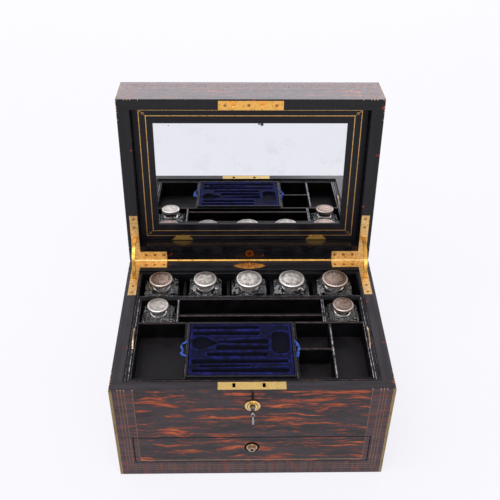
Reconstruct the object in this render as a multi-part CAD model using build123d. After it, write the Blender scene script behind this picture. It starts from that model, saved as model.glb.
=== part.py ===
from build123d import *
from math import asin, cos, degrees, hypot, radians, sin, tan
import os

# Antique fitted dressing box, standing with its lid open.
#
# Millimetres. +Z is up and the front of the box faces -Y. The origin is the
# centre of the underside, so the box stands on Z = 0. The lid and what it
# carries are drawn shut and then swung back about the hinge line by opened().

# --- carcass ---------------------------------------------------------------
BOX_WIDTH = 305.0
BOX_DEPTH = 223.0
BASE_HEIGHT = 144.0
FRONT_WALL = 12.0
SIDE_WALL = 14.0
BACK_BOARD = 14.0
HINGE_RAIL = 10.3  # packing inside the back board, which widens the back rim
BOTTOM_BOARD = 7.0
DIVIDER_BOARD = 6.0  # between the drawer and the well
CORNER_STRIP = 3.2  # brass angle let into each upright corner
CORNER_STRIP_THICKNESS = 1.0

# --- lid -------------------------------------------------------------------
LID_HEIGHT = 54.0
LID_PANEL = 8.0
LID_FRONT_WALL = 13.0
LID_SIDE_WALL = 14.5
LID_BACK_WALL = 26.0
LID_OPEN_DEG = 95.0
LID_TOP_ROUND = 1.5
RIM_GAP = 0.3  # between the two rims when the lid is shut

# --- quadrant hinges -------------------------------------------------------
HINGE_INSET = 5.0  # hinge line to the back face
LEAF_THICKNESS = 1.5
LEAF_SIDE_WIDTH = 10.0
LEAF_SIDE_LENGTH = 66.0
LEAF_BACK_WIDTH = 13.5
LEAF_BACK_LENGTH = 43.7
KNUCKLE_RADIUS = 2.2
KNUCKLE_CLEARANCE = 0.25
KNUCKLES = 3
PIN_RADIUS = 0.9
PIN_CLEARANCE = 0.05
ARM_RADIUS = 33.0
ARM_WIDTH = 4.4  # measured along the radius
ARM_THICKNESS = 4.0
ARM_TAIL_DEG = 1.2  # past the rim when the lid is open
ARM_CLEARANCE = 0.3
BACK_BEVEL_DEG = 50.0  # slope of the bevels that let the lid lean back
BEAD_RADIUS = 1.9
BEAD_CLEARANCE = 0.4
BEAD_TONGUE = 5.0
BEAD_TONGUE_THICKNESS = 1.0

# --- screws ----------------------------------------------------------------
SCREW_HEAD_RADIUS = 1.9
SCREW_SHANK_RADIUS = 0.9
SCREW_LENGTH = 8.0
LEAF_SCREW_END = 5.0  # front end of a leaf to its first screw
LEAF_SCREW_SPACING = 12.0

# --- drawer ----------------------------------------------------------------
DRAWER_END = 19.5  # side face of the box to the drawer opening
DRAWER_OPENING_HEIGHT = 43.3
DRAWER_SILL = 22.5  # underside of the box to the opening
DRAWER_REVEAL = 0.6
DRAWER_FRONT = 14.0
DRAWER_SIDE = 7.0
DRAWER_SIDE_SLACK = 0.3
DRAWER_HEADROOM = 4.0  # sides below the top of the drawer front
DRAWER_BOTTOM = 4.0
DRAWER_BOTTOM_LIFT = 3.0
DRAWER_BACK_ROOM = 5.0
RUNNER_SHELF = 14.0
RUNNER_CLEARANCE = 0.2

# --- box lock, its key and the plate in the lid -----------------------------
LOCK_PLATE_LENGTH = 73.0
LOCK_PLATE_WIDTH = 10.7
LOCK_PLATE_SETBACK = 0.9  # front face to the plate's edge
LOCK_PLATE_THICKNESS = 1.6
LOCK_OFFSET = -0.7  # the plate sits a little left of the middle
LOCK_CASE_ROOM = 0.75  # inside the case, beyond the bolt at rest
LOCK_CASE_THICKNESS = 8.0
LOCK_CASE_SETBACK = 3.0  # front face to the case
LOCK_CASE_HEIGHT = 38.0
LOCK_SHELL = 1.2
LOCK_GAP = 0.1
KEYHOLE_DROP = 24.0  # rim to the key's axis
HOOK_SPACING = 32.2
HOOK_OFFSET = -3.2  # middle of the two hooks, from the plate's middle
HOOK_THICKNESS = 1.8
HOOK_WIDTH = 4.4
HOOK_LENGTH = 9.6
HOOK_CLEARANCE = 0.75
HOOK_Y = LOCK_CASE_SETBACK + LOCK_CASE_THICKNESS / 2  # from the front face
BOLT_THICKNESS = 1.6
BOLT_BAR = 4.0
BOLT_THROW = 4.5
BOLT_FINGER = 2.8
BOLT_POST = 2.6
KEY_SHANK_RADIUS = 2.0
KEY_BIT_RADIUS = 6.2
KEY_BIT_THICKNESS = 1.6
KEY_REACH_OUT = 13.0  # front face to the ball under the bow
KEY_BOW_LENGTH = 11.5
KEY_BOW_WIDTH = 10.0
KEY_BOW_ROD = 1.3
KEY_CLEARANCE = 0.25
DRILL_PIN_RADIUS = 0.8
STRIKE_LENGTH = 74.4
STRIKE_WIDTH = 10.9
STRIKE_SETBACK = 2.0
STRIKE_THICKNESS = 1.5
STRIKE_SCREW_END = 8.0  # end of the plate to its outer screws
STRIKE_SCREW_OFFSET = -2.3  # middle screw, from the middle

# --- escutcheons -----------------------------------------------------------
UPPER_STEPS = ((8.8, 1.1), (6.8, 2.0), (4.9, 2.8))  # radius and height of each ring
UPPER_SPIGOT_RADIUS = 4.3
LOWER_RECESS_RADIUS = 8.6
LOWER_RECESS_DEPTH = 3.0
LOWER_STEPS = ((6.2, 3.8), (5.0, 5.6), (3.6, 7.0))
LOWER_SPIGOT_RADIUS = 3.4
DRAWER_LOCK_RISE = 26.0  # sill to the keyhole of the drawer
DRAWER_LOCK_WIDTH = 32.0
DRAWER_LOCK_HEIGHT = 24.0
DRAWER_LOCK_THICKNESS = 7.6
DRAWER_LOCK_BELOW = 11.0  # keyhole to the lock's lower edge
DRAWER_BOLT_WIDTH = 16.0
DRAWER_BOLT_THICKNESS = 3.0
DRAWER_BOLT_THROW = 4.5
DRAWER_BOLT_CLEARANCE = 0.15
DRAWER_BOLT_MORTISE = 0.5

# --- pin plate on the back rim and its socket in the lid --------------------
PIN_PLATE_LENGTH = 42.0
PIN_PLATE_WIDTH = 12.0
PIN_PLATE_THICKNESS = 1.2
PEG_FROM_HINGE = 10.6
PEG_RADIUS = 1.65
PEG_TIP_RADIUS = 0.8
PEG_HEIGHT = 4.5
SOCKET_RADIUS = 5.25
SOCKET_BORE = 2.3
SOCKET_WALL = 1.0
SOCKET_DEPTH = 6.5

# --- well, lining and jar rack ----------------------------------------------
RIM_DROP = 3.0  # rim to the top of the lining and the tray
LINING = 3.3
FLOOR_LINING = 0.8
LEDGE = 4.2  # shelf of the lining that carries the tray
RACK_WALL = 3.0
RACK_DEPTH = 44.7  # its wall and the jars behind it, up to the back lining
RACK_PARTITION_HEIGHT = 55.0
JAR_CELLS = 5

# --- lift-out tray ----------------------------------------------------------
TRAY_HEIGHT = 25.7
TRAY_FLOOR = 3.0
TRAY_WALL = 3.6
TRAY_CLEARANCE = 0.7
PARTITION = 3.0
JAR_CELL_DEPTH = 38.8
JAR_CELL_WIDTH = 43.0
MIDDLE_SLOT_DEPTH = 26.0
LEFT_CELL_WIDTH = 55.0
RIGHT_CELL_WIDTH = 37.6
PIN_CELL_WIDTH = 38.6
PIN_CELL_DEPTH = 40.0
TAB_LENGTH = 37.0
TAB_RISE = 6.5
TAB_THICKNESS = 1.6
PAD_REST = 3.0

# --- manicure board ---------------------------------------------------------
BOARD_CLEARANCE = 0.5
BOARD_BASE = 2.0
BOARD_BORDER = 1.6
BOARD_ABOVE_TRAY = 2.3
PAD_THICKNESS = 10.0
PAD_GAP = 0.3
POCKET_DEPTH = 5.0
RIBBON_WIDTH = 5.0
RIBBON_THICKNESS = 0.7
RIBBON_SPAN = 25.0
RIBBON_REACH = 8.5
RIBBON_CLEARANCE = 0.4

# Tool pockets in the velvet, from the middle of the board: left end and right end as
# shares of its width, then the distance towards the back and the widths of the left
# and right ends as shares of its depth.
TOOL_POCKETS = (
    (-0.4561, 0.1824, 0.4119, 0.0595, 0.0595),
    (-0.4478, 0.1824, 0.2976, 0.0667, 0.0667),
    (-0.4561, -0.2239, 0.1167, 0.2440, 0.0357),
    (-0.2073, 0.2653, 0.1405, 0.0286, 0.1000),
    (-0.2322, 0.2612, 0.0238, 0.1000, 0.0762),
    (-0.3151, 0.2488, -0.0952, 0.0595, 0.0738),
    (-0.4519, 0.4312, -0.2250, 0.0833, 0.0524),
    (-0.3814, 0.0829, -0.3048, 0.0429, 0.0310),
    (-0.4436, 0.4395, -0.3833, 0.0548, 0.0786),
)
WIDE_POCKET = (0.3731, 0.1179, 0.1692, 0.4119)  # middle, width and depth, as shares
WIDE_POCKET_CORNER = 0.392  # as a share of the pocket's width

# --- jars -------------------------------------------------------------------
JAR_TOP_ABOVE_RIM = 7.7
JAR_CORNER = 5.0
JAR_GLASS = 5.0
JAR_SHOULDER = 6.0
JAR_DOME = 1.6  # swell of the shoulder
NECK_GLASS = 3.0
NECK_HEIGHT = 11.0
LID_HOOD = 5.0  # height of a silver lid
LID_METAL = 1.6
LID_FIT = 0.3
FLOOR_GAP = 0.1
NARROW_JAR_WIDTH = 40.0  # square
NARROW_JAR_LID = 14.0  # radius
BROAD_JAR_WIDTH = 42.5
BROAD_JAR_DEPTH = 40.5
BROAD_JAR_LID = 15.7
SMALL_JAR_WIDTH = 37.0
SMALL_JAR_DEPTH = 36.6
SMALL_JAR_LID = 12.2
NARROW_JAR = (NARROW_JAR_WIDTH, NARROW_JAR_WIDTH, NARROW_JAR_LID)
BROAD_JAR = (BROAD_JAR_WIDTH, BROAD_JAR_DEPTH, BROAD_JAR_LID)
TALL_JARS = (  # size, and where it stands in its cell: -1 is hard left, 1 hard right
    (NARROW_JAR, -0.18),
    (NARROW_JAR, -0.217),
    (BROAD_JAR, -0.28),
    (BROAD_JAR, -0.653),
    (BROAD_JAR, -0.839),
)
NECK_SHARE = 0.64  # neck radius to lid radius

# --- mirror panel in the lid -------------------------------------------------
PANEL_DEPTH = 16.5  # lid rim to the face of the frame
PANEL_THICKNESS = 7.0
PANEL_CLEARANCE = 0.8
FRAME_BORDER = 23.0
GLASS_THICKNESS = 3.0
GLASS_SETBACK = 1.5
GLASS_LAP = 3.0
GLASS_CLEARANCE = 0.2
PANEL_LEDGE = 6.0
CEILING_LINING = 1.0
PULL_LENGTH = 26.5
PULL_HEIGHT = 6.5
PULL_THICKNESS = 1.2
PULL_FROM_END = 52.0

# --- planes and lines that the pieces share ---------------------------------
X_OUT = BOX_WIDTH / 2
X_IN = X_OUT - SIDE_WALL
X_DRAWER = X_OUT - DRAWER_END
Y_FRONT = -BOX_DEPTH / 2
Y_BACK = BOX_DEPTH / 2
Y_WELL_FRONT = Y_FRONT + FRONT_WALL
Y_BOARD = Y_BACK - BACK_BOARD
Y_WELL_BACK = Y_BOARD - HINGE_RAIL
Y_HINGE = Y_BACK - HINGE_INSET
Z_HINGE = BASE_HEIGHT + RIM_GAP / 2
Z_LID = BASE_HEIGHT + RIM_GAP
Z_LID_TOP = Z_LID + LID_HEIGHT
Z_OPENING_TOP = DRAWER_SILL + DRAWER_OPENING_HEIGHT
Z_DIVIDER = Z_OPENING_TOP + DIVIDER_BOARD
Z_FLOOR = Z_DIVIDER + FLOOR_LINING
Z_TRAY_TOP = BASE_HEIGHT - RIM_DROP
Z_TRAY = Z_TRAY_TOP - TRAY_HEIGHT
Z_TRAY_FLOOR = Z_TRAY + TRAY_FLOOR
Z_KEY = BASE_HEIGHT - KEYHOLE_DROP
Z_JAR_TOP = BASE_HEIGHT + JAR_TOP_ABOVE_RIM
X_LINING = X_IN - LINING
Y_LINING_FRONT = Y_WELL_FRONT + LINING
Y_LINING_BACK = Y_WELL_BACK - LINING
X_TRAY = X_LINING - TRAY_CLEARANCE
Y_TRAY = Y_LINING_FRONT + TRAY_CLEARANCE
Y_RACK = Y_LINING_BACK - RACK_DEPTH
Y_TRAY_END = Y_RACK - TRAY_CLEARANCE
X_TRAY_IN = X_TRAY - TRAY_WALL
Y_TRAY_IN = Y_TRAY + TRAY_WALL
Y_TRAY_IN_END = Y_TRAY_END - TRAY_WALL
X_LEAF = X_IN + LEAF_SIDE_WIDTH
X_LEAF_END = X_LEAF - LEAF_BACK_LENGTH
X_ARM = X_IN + LEAF_SIDE_WIDTH / 2
HINGE_LINE = Axis((0, Y_HINGE, Z_HINGE), (1, 0, 0))


# --- small helpers ----------------------------------------------------------
def block(x0, x1, y0, y1, z0, z1):
    """A box between two limits on each axis."""
    middle = Pos((x0 + x1) / 2, (y0 + y1) / 2, (z0 + z1) / 2)
    return middle * Box(x1 - x0, y1 - y0, z1 - z0)


def rod_x(radius, x0, x1, y, z):
    """A round bar along X."""
    return Pos((x0 + x1) / 2, y, z) * Rot(0, 90, 0) * Cylinder(radius, x1 - x0)


def rod_y(radius, y0, y1, x, z):
    """A round bar along Y."""
    return Pos(x, (y0 + y1) / 2, z) * Rot(90, 0, 0) * Cylinder(radius, y1 - y0)


def prism(points, direction):
    """A flat outline in space, pushed along a vector."""
    face = make_face(Polyline(*points, close=True))
    return extrude(face, amount=Vector(direction).length, dir=direction)


def turned(profile):
    """A solid of revolution about Z from (radius, height) points."""
    outline = Polyline(*[(r, 0, z) for r, z in profile], close=True)
    return revolve(make_face(outline), Axis.Z)


def both_sides(piece):
    """A piece and its mirror image, as two solids."""
    return Compound([*piece.solids(), *mirror(piece, about=Plane.YZ).solids()])


def group(*pieces):
    """Separate solids that share one node."""
    return Compound([solid for piece in pieces for solid in piece.solids()])


def opened(piece):
    """A piece of the shut lid, swung open about the hinge line."""
    return piece.rotate(HINGE_LINE, -LID_OPEN_DEG)


def half_moon(length, rise, thickness):
    """A segment of a disc on the XZ plane: chord on Z = 0, thickness along +Y."""
    chord = Line((-length / 2, 0, 0), (length / 2, 0, 0))
    bow = ThreePointArc((length / 2, 0, 0), (0, 0, rise), (-length / 2, 0, 0))
    return extrude(make_face(chord + bow), amount=thickness, dir=(0, 1, 0))


def screw(x, y, z, up):
    """A countersunk screw with its head's face at a point, facing +Z or -Z."""
    cone = SCREW_HEAD_RADIUS - SCREW_SHANK_RADIUS
    profile = [(0, 0), (SCREW_HEAD_RADIUS, 0), (SCREW_SHANK_RADIUS, -cone)]
    profile += [(SCREW_SHANK_RADIUS, -SCREW_LENGTH), (0, -SCREW_LENGTH)]
    return Pos(x, y, z) * Rot(0 if up else 180, 0, 0) * turned(profile)


# --- shared shapes of the hinges and corners --------------------------------
def arm_point(radius, angle):
    """A point on the hinge arm's circle: 0 at the rim, growing downward."""
    turn = radians(angle)
    return (0, Y_HINGE - radius * cos(turn), Z_HINGE - radius * sin(turn))


def arm_sector(clearance, start, end):
    """The right-hand arm's curved bar, or its mortise, with the lid shut."""
    inner = ARM_RADIUS - ARM_WIDTH / 2 - clearance
    outer = ARM_RADIUS + ARM_WIDTH / 2 + clearance
    middle = (start + end) / 2
    outline = ThreePointArc(*[arm_point(inner, a) for a in (start, middle, end)])
    outline += Line(arm_point(inner, end), arm_point(outer, end))
    outline += ThreePointArc(*[arm_point(outer, a) for a in (end, middle, start)])
    outline += Line(arm_point(outer, start), arm_point(inner, start))
    width = ARM_THICKNESS + 2 * clearance
    bar = extrude(make_face(outline), amount=width, dir=(1, 0, 0))
    return Pos(X_ARM - width / 2, 0, 0) * bar


def arm_mortise():
    """Room in the base for both arms over the whole swing of the lid."""
    end = LID_OPEN_DEG + ARM_TAIL_DEG + degrees(2 * ARM_CLEARANCE / ARM_RADIUS)
    return both_sides(arm_sector(ARM_CLEARANCE, -2, end))


def leaf_outline(z0, z1):
    """The right-hand L-shaped leaf as a plain plate between two heights."""
    inner = Y_HINGE - LEAF_BACK_WIDTH
    front = Y_HINGE - LEAF_SIDE_LENGTH
    points = [(X_LEAF, Y_HINGE, z0), (X_LEAF, front, z0), (X_IN, front, z0)]
    points += [(X_IN, inner, z0), (X_LEAF_END, inner, z0), (X_LEAF_END, Y_HINGE, z0)]
    return prism(points, (0, 0, z1 - z0))


def knuckle_cuts(radius_in_bead):
    """Cove along the hinge line: knuckles at the ends, bead in the middle."""
    ends = KNUCKLE_RADIUS + KNUCKLE_CLEARANCE
    right = rod_x(ends, X_LEAF_END - KNUCKLE_CLEARANCE, X_OUT + 1, Y_HINGE, Z_HINGE)
    middle = rod_x(radius_in_bead, -X_LEAF_END, X_LEAF_END, Y_HINGE, Z_HINGE)
    return group(both_sides(right), middle)


def back_bevel(rim, side):
    """Wedge behind the hinge line, below (-1) or above (+1) a rim plane."""
    back = Y_BACK + 1
    slope = (back - Y_HINGE) * tan(radians(BACK_BEVEL_DEG))
    start = -X_OUT - 1
    lip = rim - side
    points = [(start, Y_HINGE, lip), (start, Y_HINGE, rim)]
    points += [(start, back, rim + side * slope), (start, back, lip)]
    return prism(points, (-2 * start, 0, 0))


def leaf_screws(z, up):
    """Screws of both leaves on one rim."""
    side = X_IN + LEAF_SIDE_WIDTH / 2
    front = Y_HINGE - LEAF_SIDE_LENGTH
    row = Y_HINGE - 0.62 * LEAF_BACK_WIDTH
    step = (X_IN - X_LEAF_END) / 3
    first = front + LEAF_SCREW_END
    places = [(side, first), (side, first + LEAF_SCREW_SPACING)]
    places += [(X_LEAF_END + step * (n + 0.35), row) for n in range(3)]
    right = group(*[screw(x, y, z, up) for x, y in places])
    return both_sides(right)


def corner_strips(z0, z1):
    """Brass angles on the four upright corners between two heights."""
    x, y, t = X_OUT, Y_FRONT, CORNER_STRIP_THICKNESS
    inner_x, inner_y = x - CORNER_STRIP, y + CORNER_STRIP
    points = [(x, y, z0), (inner_x, y, z0), (inner_x, y + t, z0)]
    points += [(x - t, y + t, z0), (x - t, inner_y, z0), (x, inner_y, z0)]
    front = both_sides(prism(points, (0, 0, z1 - z0)))
    return group(front, mirror(front, about=Plane.XZ))


def base_corner_strips():
    """Strips of the base, cut off at the bevel behind the hinge line."""
    strips = corner_strips(0, BASE_HEIGHT)
    return group(*[strip - back_bevel(BASE_HEIGHT, -1) for strip in strips.solids()])


def lid_corner_strips():
    """Strips of the lid, cut off at the bevel behind the hinge line."""
    strips = corner_strips(Z_LID, Z_LID_TOP - LID_TOP_ROUND)
    return group(*[strip - back_bevel(Z_LID, 1) for strip in strips.solids()])


# --- base: carcass boards ---------------------------------------------------
def drawer_window():
    """The opening in the front that the drawer fills."""
    half = X_DRAWER
    return block(-half, half, Y_FRONT - 1, Y_WELL_FRONT + 1, DRAWER_SILL, Z_OPENING_TOP)


def lock_case_half():
    """Half length of the box lock's case, round its bolt at rest."""
    gap = HOOK_THICKNESS / 2 + HOOK_CLEARANCE
    bolt_end = HOOK_SPACING / 2 - HOOK_OFFSET + gap + BOLT_THROW + BOLT_POST
    return bolt_end + LOCK_CASE_ROOM + LOCK_SHELL


def box_lock_body():
    """Outer shape of the box lock: rim plate over a flat case."""
    half, case = LOCK_PLATE_LENGTH / 2, lock_case_half()
    x, y = LOCK_OFFSET, Y_FRONT + LOCK_CASE_SETBACK
    under = BASE_HEIGHT - LOCK_PLATE_THICKNESS
    edge = Y_FRONT + LOCK_PLATE_SETBACK
    plate = block(x - half, x + half, edge, edge + LOCK_PLATE_WIDTH, under, BASE_HEIGHT)
    low = BASE_HEIGHT - LOCK_CASE_HEIGHT
    return plate + block(x - case, x + case, y, y + LOCK_CASE_THICKNESS, low, under)


def base_front():
    """Front board with the drawer opening and the mortise of the box lock."""
    board = block(-X_OUT, X_OUT, Y_FRONT, Y_WELL_FRONT, 0, BASE_HEIGHT)
    spigot = rod_y(UPPER_SPIGOT_RADIUS, Y_FRONT - 1, Y_FRONT + LOCK_CASE_SETBACK, 0, Z_KEY)
    board -= drawer_window() + box_lock_body() + spigot
    return board - drawer_bolt_room() - corner_strips(0, BASE_HEIGHT)


def drawer_bolt_room():
    """Mortise above the opening that takes the drawer's raised bolt."""
    gap = DRAWER_BOLT_MORTISE
    half = DRAWER_BOLT_WIDTH / 2 + gap
    front, back = drawer_bolt_span()
    top = Z_OPENING_TOP + DRAWER_BOLT_THROW + gap
    return block(-half, half, front - gap, back + gap, Z_OPENING_TOP - 1, top)


def base_sides():
    """Side boards, sunk for the hinge leaves and mortised for the arms."""
    board = block(X_IN, X_OUT, Y_WELL_FRONT, Y_BOARD, 0, BASE_HEIGHT)
    board -= leaf_outline(BASE_HEIGHT - LEAF_THICKNESS, BASE_HEIGHT)
    sides = both_sides(board) - arm_mortise() - knuckle_cuts(BEAD_RADIUS)
    return group(sides - leaf_screws(BASE_HEIGHT, True))


def base_back():
    """Back board across the full width, bevelled behind the hinge line."""
    board = block(-X_OUT, X_OUT, Y_BOARD, Y_BACK, 0, BASE_HEIGHT)
    board -= both_sides(leaf_outline(BASE_HEIGHT - LEAF_THICKNESS, BASE_HEIGHT))
    board -= arm_mortise()
    board -= knuckle_cuts(BEAD_RADIUS)
    board -= back_bevel(BASE_HEIGHT, -1)
    board -= corner_strips(0, BASE_HEIGHT)
    board -= bead_tongue()
    return board - pin_plate_body() - leaf_screws(BASE_HEIGHT, True)


def hinge_rail():
    """Packing rail inside the back board, between the sides."""
    rail = block(-X_IN, X_IN, Y_WELL_BACK, Y_BOARD, Z_DIVIDER, BASE_HEIGHT)
    rail -= both_sides(leaf_outline(BASE_HEIGHT - LEAF_THICKNESS, BASE_HEIGHT))
    return rail - pin_plate_body() - leaf_screws(BASE_HEIGHT, True)


def base_bottom():
    """Bottom board between the walls."""
    return block(-X_IN, X_IN, Y_WELL_FRONT, Y_BOARD, 0, BOTTOM_BOARD)


def drawer_divider():
    """Board between the drawer and the well."""
    return block(-X_IN, X_IN, Y_WELL_FRONT, Y_BOARD, Z_OPENING_TOP, Z_DIVIDER)


def drawer_runners():
    """Strips that carry the drawer's sides and guide them."""
    guide = X_DRAWER
    shelf = guide - RUNNER_SHELF
    y, top = Y_WELL_FRONT, DRAWER_SILL
    points = [(X_IN, y, BOTTOM_BOARD), (X_IN, y, Z_OPENING_TOP), (guide, y, Z_OPENING_TOP)]
    points += [(guide, y, top), (shelf, y, top), (shelf, y, BOTTOM_BOARD)]
    return both_sides(prism(points, (0, Y_BOARD - y, 0)))


def base_lining():
    """Leather-covered strips round the well, with a shelf for the tray."""
    side = [(X_IN, Z_FLOOR), (X_IN, Z_TRAY_TOP), (X_LINING, Z_TRAY_TOP)]
    side += [(X_LINING, Z_TRAY), (X_LINING - LEDGE, Z_TRAY), (X_LINING - LEDGE, Z_FLOOR)]
    start = Y_WELL_FRONT
    right = prism([(x, start, z) for x, z in side], (0, Y_RACK - start, 0))
    behind = block(X_LINING, X_IN, Y_RACK, Y_WELL_BACK, Z_FLOOR, Z_TRAY_TOP)
    ledge = Y_LINING_FRONT + LEDGE
    front = [(start, Z_FLOOR), (start, Z_TRAY_TOP), (Y_LINING_FRONT, Z_TRAY_TOP)]
    front += [(Y_LINING_FRONT, Z_TRAY), (ledge, Z_TRAY), (ledge, Z_FLOOR)]
    low = X_LINING - LEDGE
    front = prism([(-X_LINING, y, z) for y, z in front], (2 * X_LINING, 0, 0))
    sides = both_sides(right) - front
    back = block(-X_LINING, X_LINING, Y_LINING_BACK, Y_WELL_BACK, Z_FLOOR, Z_TRAY_TOP)
    floor = block(-X_IN, X_IN, Y_WELL_FRONT, Y_WELL_BACK, Z_DIVIDER, Z_FLOOR)
    return group(sides, front, both_sides(behind), back, floor)


def jar_rack():
    """Wall behind the tray, and low partitions between the tall jars."""
    top, under = Z_TRAY_TOP, Z_TRAY
    shelf = Y_RACK - LEDGE
    wall = [(Y_RACK + RACK_WALL, Z_FLOOR), (Y_RACK + RACK_WALL, top), (Y_RACK, top)]
    wall += [(Y_RACK, under), (shelf, under), (shelf, Z_FLOOR)]
    inner = X_LINING - LEDGE
    long_wall = block(-X_LINING, X_LINING, Y_RACK, Y_RACK + RACK_WALL, Z_FLOOR, top)
    bearer = block(-inner, inner, shelf, Y_RACK, Z_FLOOR, under)
    pitch = 2 * X_LINING / JAR_CELLS
    start, high = Y_RACK + RACK_WALL, Z_FLOOR + RACK_PARTITION_HEIGHT
    between = [(n + 1 - JAR_CELLS / 2) * pitch for n in range(JAR_CELLS - 1)]
    half = RACK_WALL / 2
    walls = [block(x - half, x + half, start, Y_LINING_BACK, Z_FLOOR, high) for x in between]
    return group(long_wall + bearer, *walls)


# --- base: hinge, plates and locks ------------------------------------------
def knuckle_spans(turn):
    """X limits of every second knuckle, starting with the first or second."""
    step = LEAF_BACK_LENGTH / KNUCKLES
    starts = [X_LEAF_END + n * step for n in range(turn, KNUCKLES, 2)]
    return [(start, start + step) for start in starts]


def hinge_leaves(low, high, turn, bore):
    """Both leaves of one rim, with the knuckles of every second place."""
    leaf = leaf_outline(low, high)
    room = KNUCKLE_RADIUS + KNUCKLE_CLEARANCE
    for x0, x1 in knuckle_spans(1 - turn):
        leaf -= rod_x(room, x0 - LOCK_GAP, x1 + LOCK_GAP, Y_HINGE, Z_HINGE)
    for x0, x1 in knuckle_spans(turn):
        leaf += rod_x(KNUCKLE_RADIUS, x0 + LOCK_GAP, x1 - LOCK_GAP, Y_HINGE, Z_HINGE)
    leaf -= rod_x(bore, X_LEAF_END - 1, X_LEAF + 1, Y_HINGE, Z_HINGE)
    return both_sides(leaf)


def base_hinge_leaves():
    """Leaves let into the base, slotted for the arms."""
    leaves = hinge_leaves(BASE_HEIGHT - LEAF_THICKNESS, BASE_HEIGHT, 0, PIN_RADIUS)
    return group(leaves - arm_mortise() - leaf_screws(BASE_HEIGHT, True))


def hinge_fasteners():
    """Pins of the two hinges and the screws of their base leaves."""
    pin = rod_x(PIN_RADIUS, X_LEAF_END + LOCK_GAP, X_LEAF - LOCK_GAP, Y_HINGE, Z_HINGE)
    return group(both_sides(pin), leaf_screws(BASE_HEIGHT, True))


def bead_tongue():
    """Fin under the brass bead, let into the back board."""
    half = BEAD_TONGUE_THICKNESS / 2
    end = X_LEAF_END - KNUCKLE_CLEARANCE
    return block(-end, end, Y_HINGE - half, Y_HINGE + half, Z_HINGE - BEAD_TONGUE, Z_HINGE)


def hinge_bead():
    """Brass bead along the hinge line between the two hinges."""
    end = X_LEAF_END - KNUCKLE_CLEARANCE
    return rod_x(BEAD_RADIUS, -end, end, Y_HINGE, Z_HINGE) + bead_tongue()


def pin_plate_body():
    """Pointed plate let into the back rim: the overlap of two discs."""
    half, rise = PIN_PLATE_LENGTH / 2, PIN_PLATE_WIDTH / 2
    radius = (half**2 + rise**2) / (2 * rise)
    shift = radius - rise
    z = BASE_HEIGHT - PIN_PLATE_THICKNESS / 2
    discs = [Pos(0, s, z) * Cylinder(radius, PIN_PLATE_THICKNESS) for s in (shift, -shift)]
    return Pos(0, Y_HINGE - PEG_FROM_HINGE, 0) * (discs[0] & discs[1])


def pin_plate():
    """Pointed plate with the peg that enters the lid."""
    profile = [(0, 0), (PEG_RADIUS, 0), (PEG_RADIUS, PEG_HEIGHT / 3)]
    profile += [(PEG_TIP_RADIUS, PEG_HEIGHT), (0, PEG_HEIGHT)]
    peg = Pos(0, Y_HINGE - PEG_FROM_HINGE, BASE_HEIGHT) * turned(profile)
    return pin_plate_body() + peg


def hook_places():
    """X of the two hooks in the lid and of their slots in the rim plate."""
    middle = LOCK_OFFSET + HOOK_OFFSET
    return (middle - HOOK_SPACING / 2, middle + HOOK_SPACING / 2)


def box_lock():
    """Box lock: slotted rim plate, hollow case and drill pin."""
    lock = box_lock_body()
    x, y = LOCK_OFFSET, Y_FRONT + LOCK_CASE_SETBACK
    y0, y1 = y + LOCK_SHELL, y + LOCK_CASE_THICKNESS - LOCK_SHELL
    inside = lock_case_half() - LOCK_SHELL
    ceiling = BASE_HEIGHT - LOCK_PLATE_THICKNESS
    lock -= block(x - inside, x + inside, y0, y1, bolt_floor() - LOCK_GAP, ceiling)
    key_room = KEY_BIT_RADIUS + 2 * KEY_CLEARANCE
    lock -= rod_y(key_room, y0, y1, 0, Z_KEY)
    lock -= block(-key_room, key_room, y0, y1, Z_KEY, bolt_floor())
    lock -= rod_y(KEY_SHANK_RADIUS + KEY_CLEARANCE, y - 1, y0 + 1, 0, Z_KEY)
    for hook in hook_places():
        half = HOOK_THICKNESS / 2 + HOOK_CLEARANCE
        reach = HOOK_WIDTH / 2 + HOOK_CLEARANCE
        front, back = Y_FRONT + HOOK_Y - reach, Y_FRONT + HOOK_Y + reach
        lock -= block(hook - half, hook + half, front, back, ceiling - 1, BASE_HEIGHT + 1)
    return lock + rod_y(DRILL_PIN_RADIUS, y0 + LOCK_SHELL, y1 + LOCK_SHELL, 0, Z_KEY)


def bolt_floor():
    """Height of the bolt's lower edge, clear above the turning key bit."""
    return Z_KEY + KEY_BIT_RADIUS + 4 * KEY_CLEARANCE


def lock_bolt():
    """Sliding bolt with a finger beside each hook, drawn unlocked."""
    y = Y_FRONT + HOOK_Y
    y0, y1 = y - BOLT_THICKNESS / 2, y + BOLT_THICKNESS / 2
    low = bolt_floor()
    top = hook_window()[1] - HOOK_CLEARANCE
    gap = HOOK_THICKNESS / 2 + HOOK_CLEARANCE
    first, last = hook_places()
    root = gap + BOLT_THROW
    bolt = block(first - root - BOLT_POST, last - root, y0, y1, low, low + BOLT_BAR)
    for hook in (first, last):
        bolt += block(hook - root - BOLT_POST, hook - root, y0, y1, low, top)
        bolt += block(hook - root, hook - gap, y0, y1, top - BOLT_FINGER, top)
    return bolt


def hook_window():
    """Heights of the window in each hook, with the lid shut."""
    low = Z_LID - HOOK_LENGTH + HOOK_THICKNESS
    return low, low + BOLT_FINGER + 2 * HOOK_CLEARANCE


def stepped_disc(steps, back, spigot, spigot_depth, bore):
    """Turned rings that grow towards -Y from a seat, with a spigot behind."""
    radii = [radius for radius, _ in steps]
    profile = [(bore, -spigot_depth), (spigot, -spigot_depth), (spigot, 0)]
    start = 0
    for radius, height in steps:
        profile += [(radius, start), (radius, height)]
        start = height
    profile.append((bore, start))
    return Pos(0, back, 0) * Rot(90, 0, 0) * turned(profile)


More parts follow.
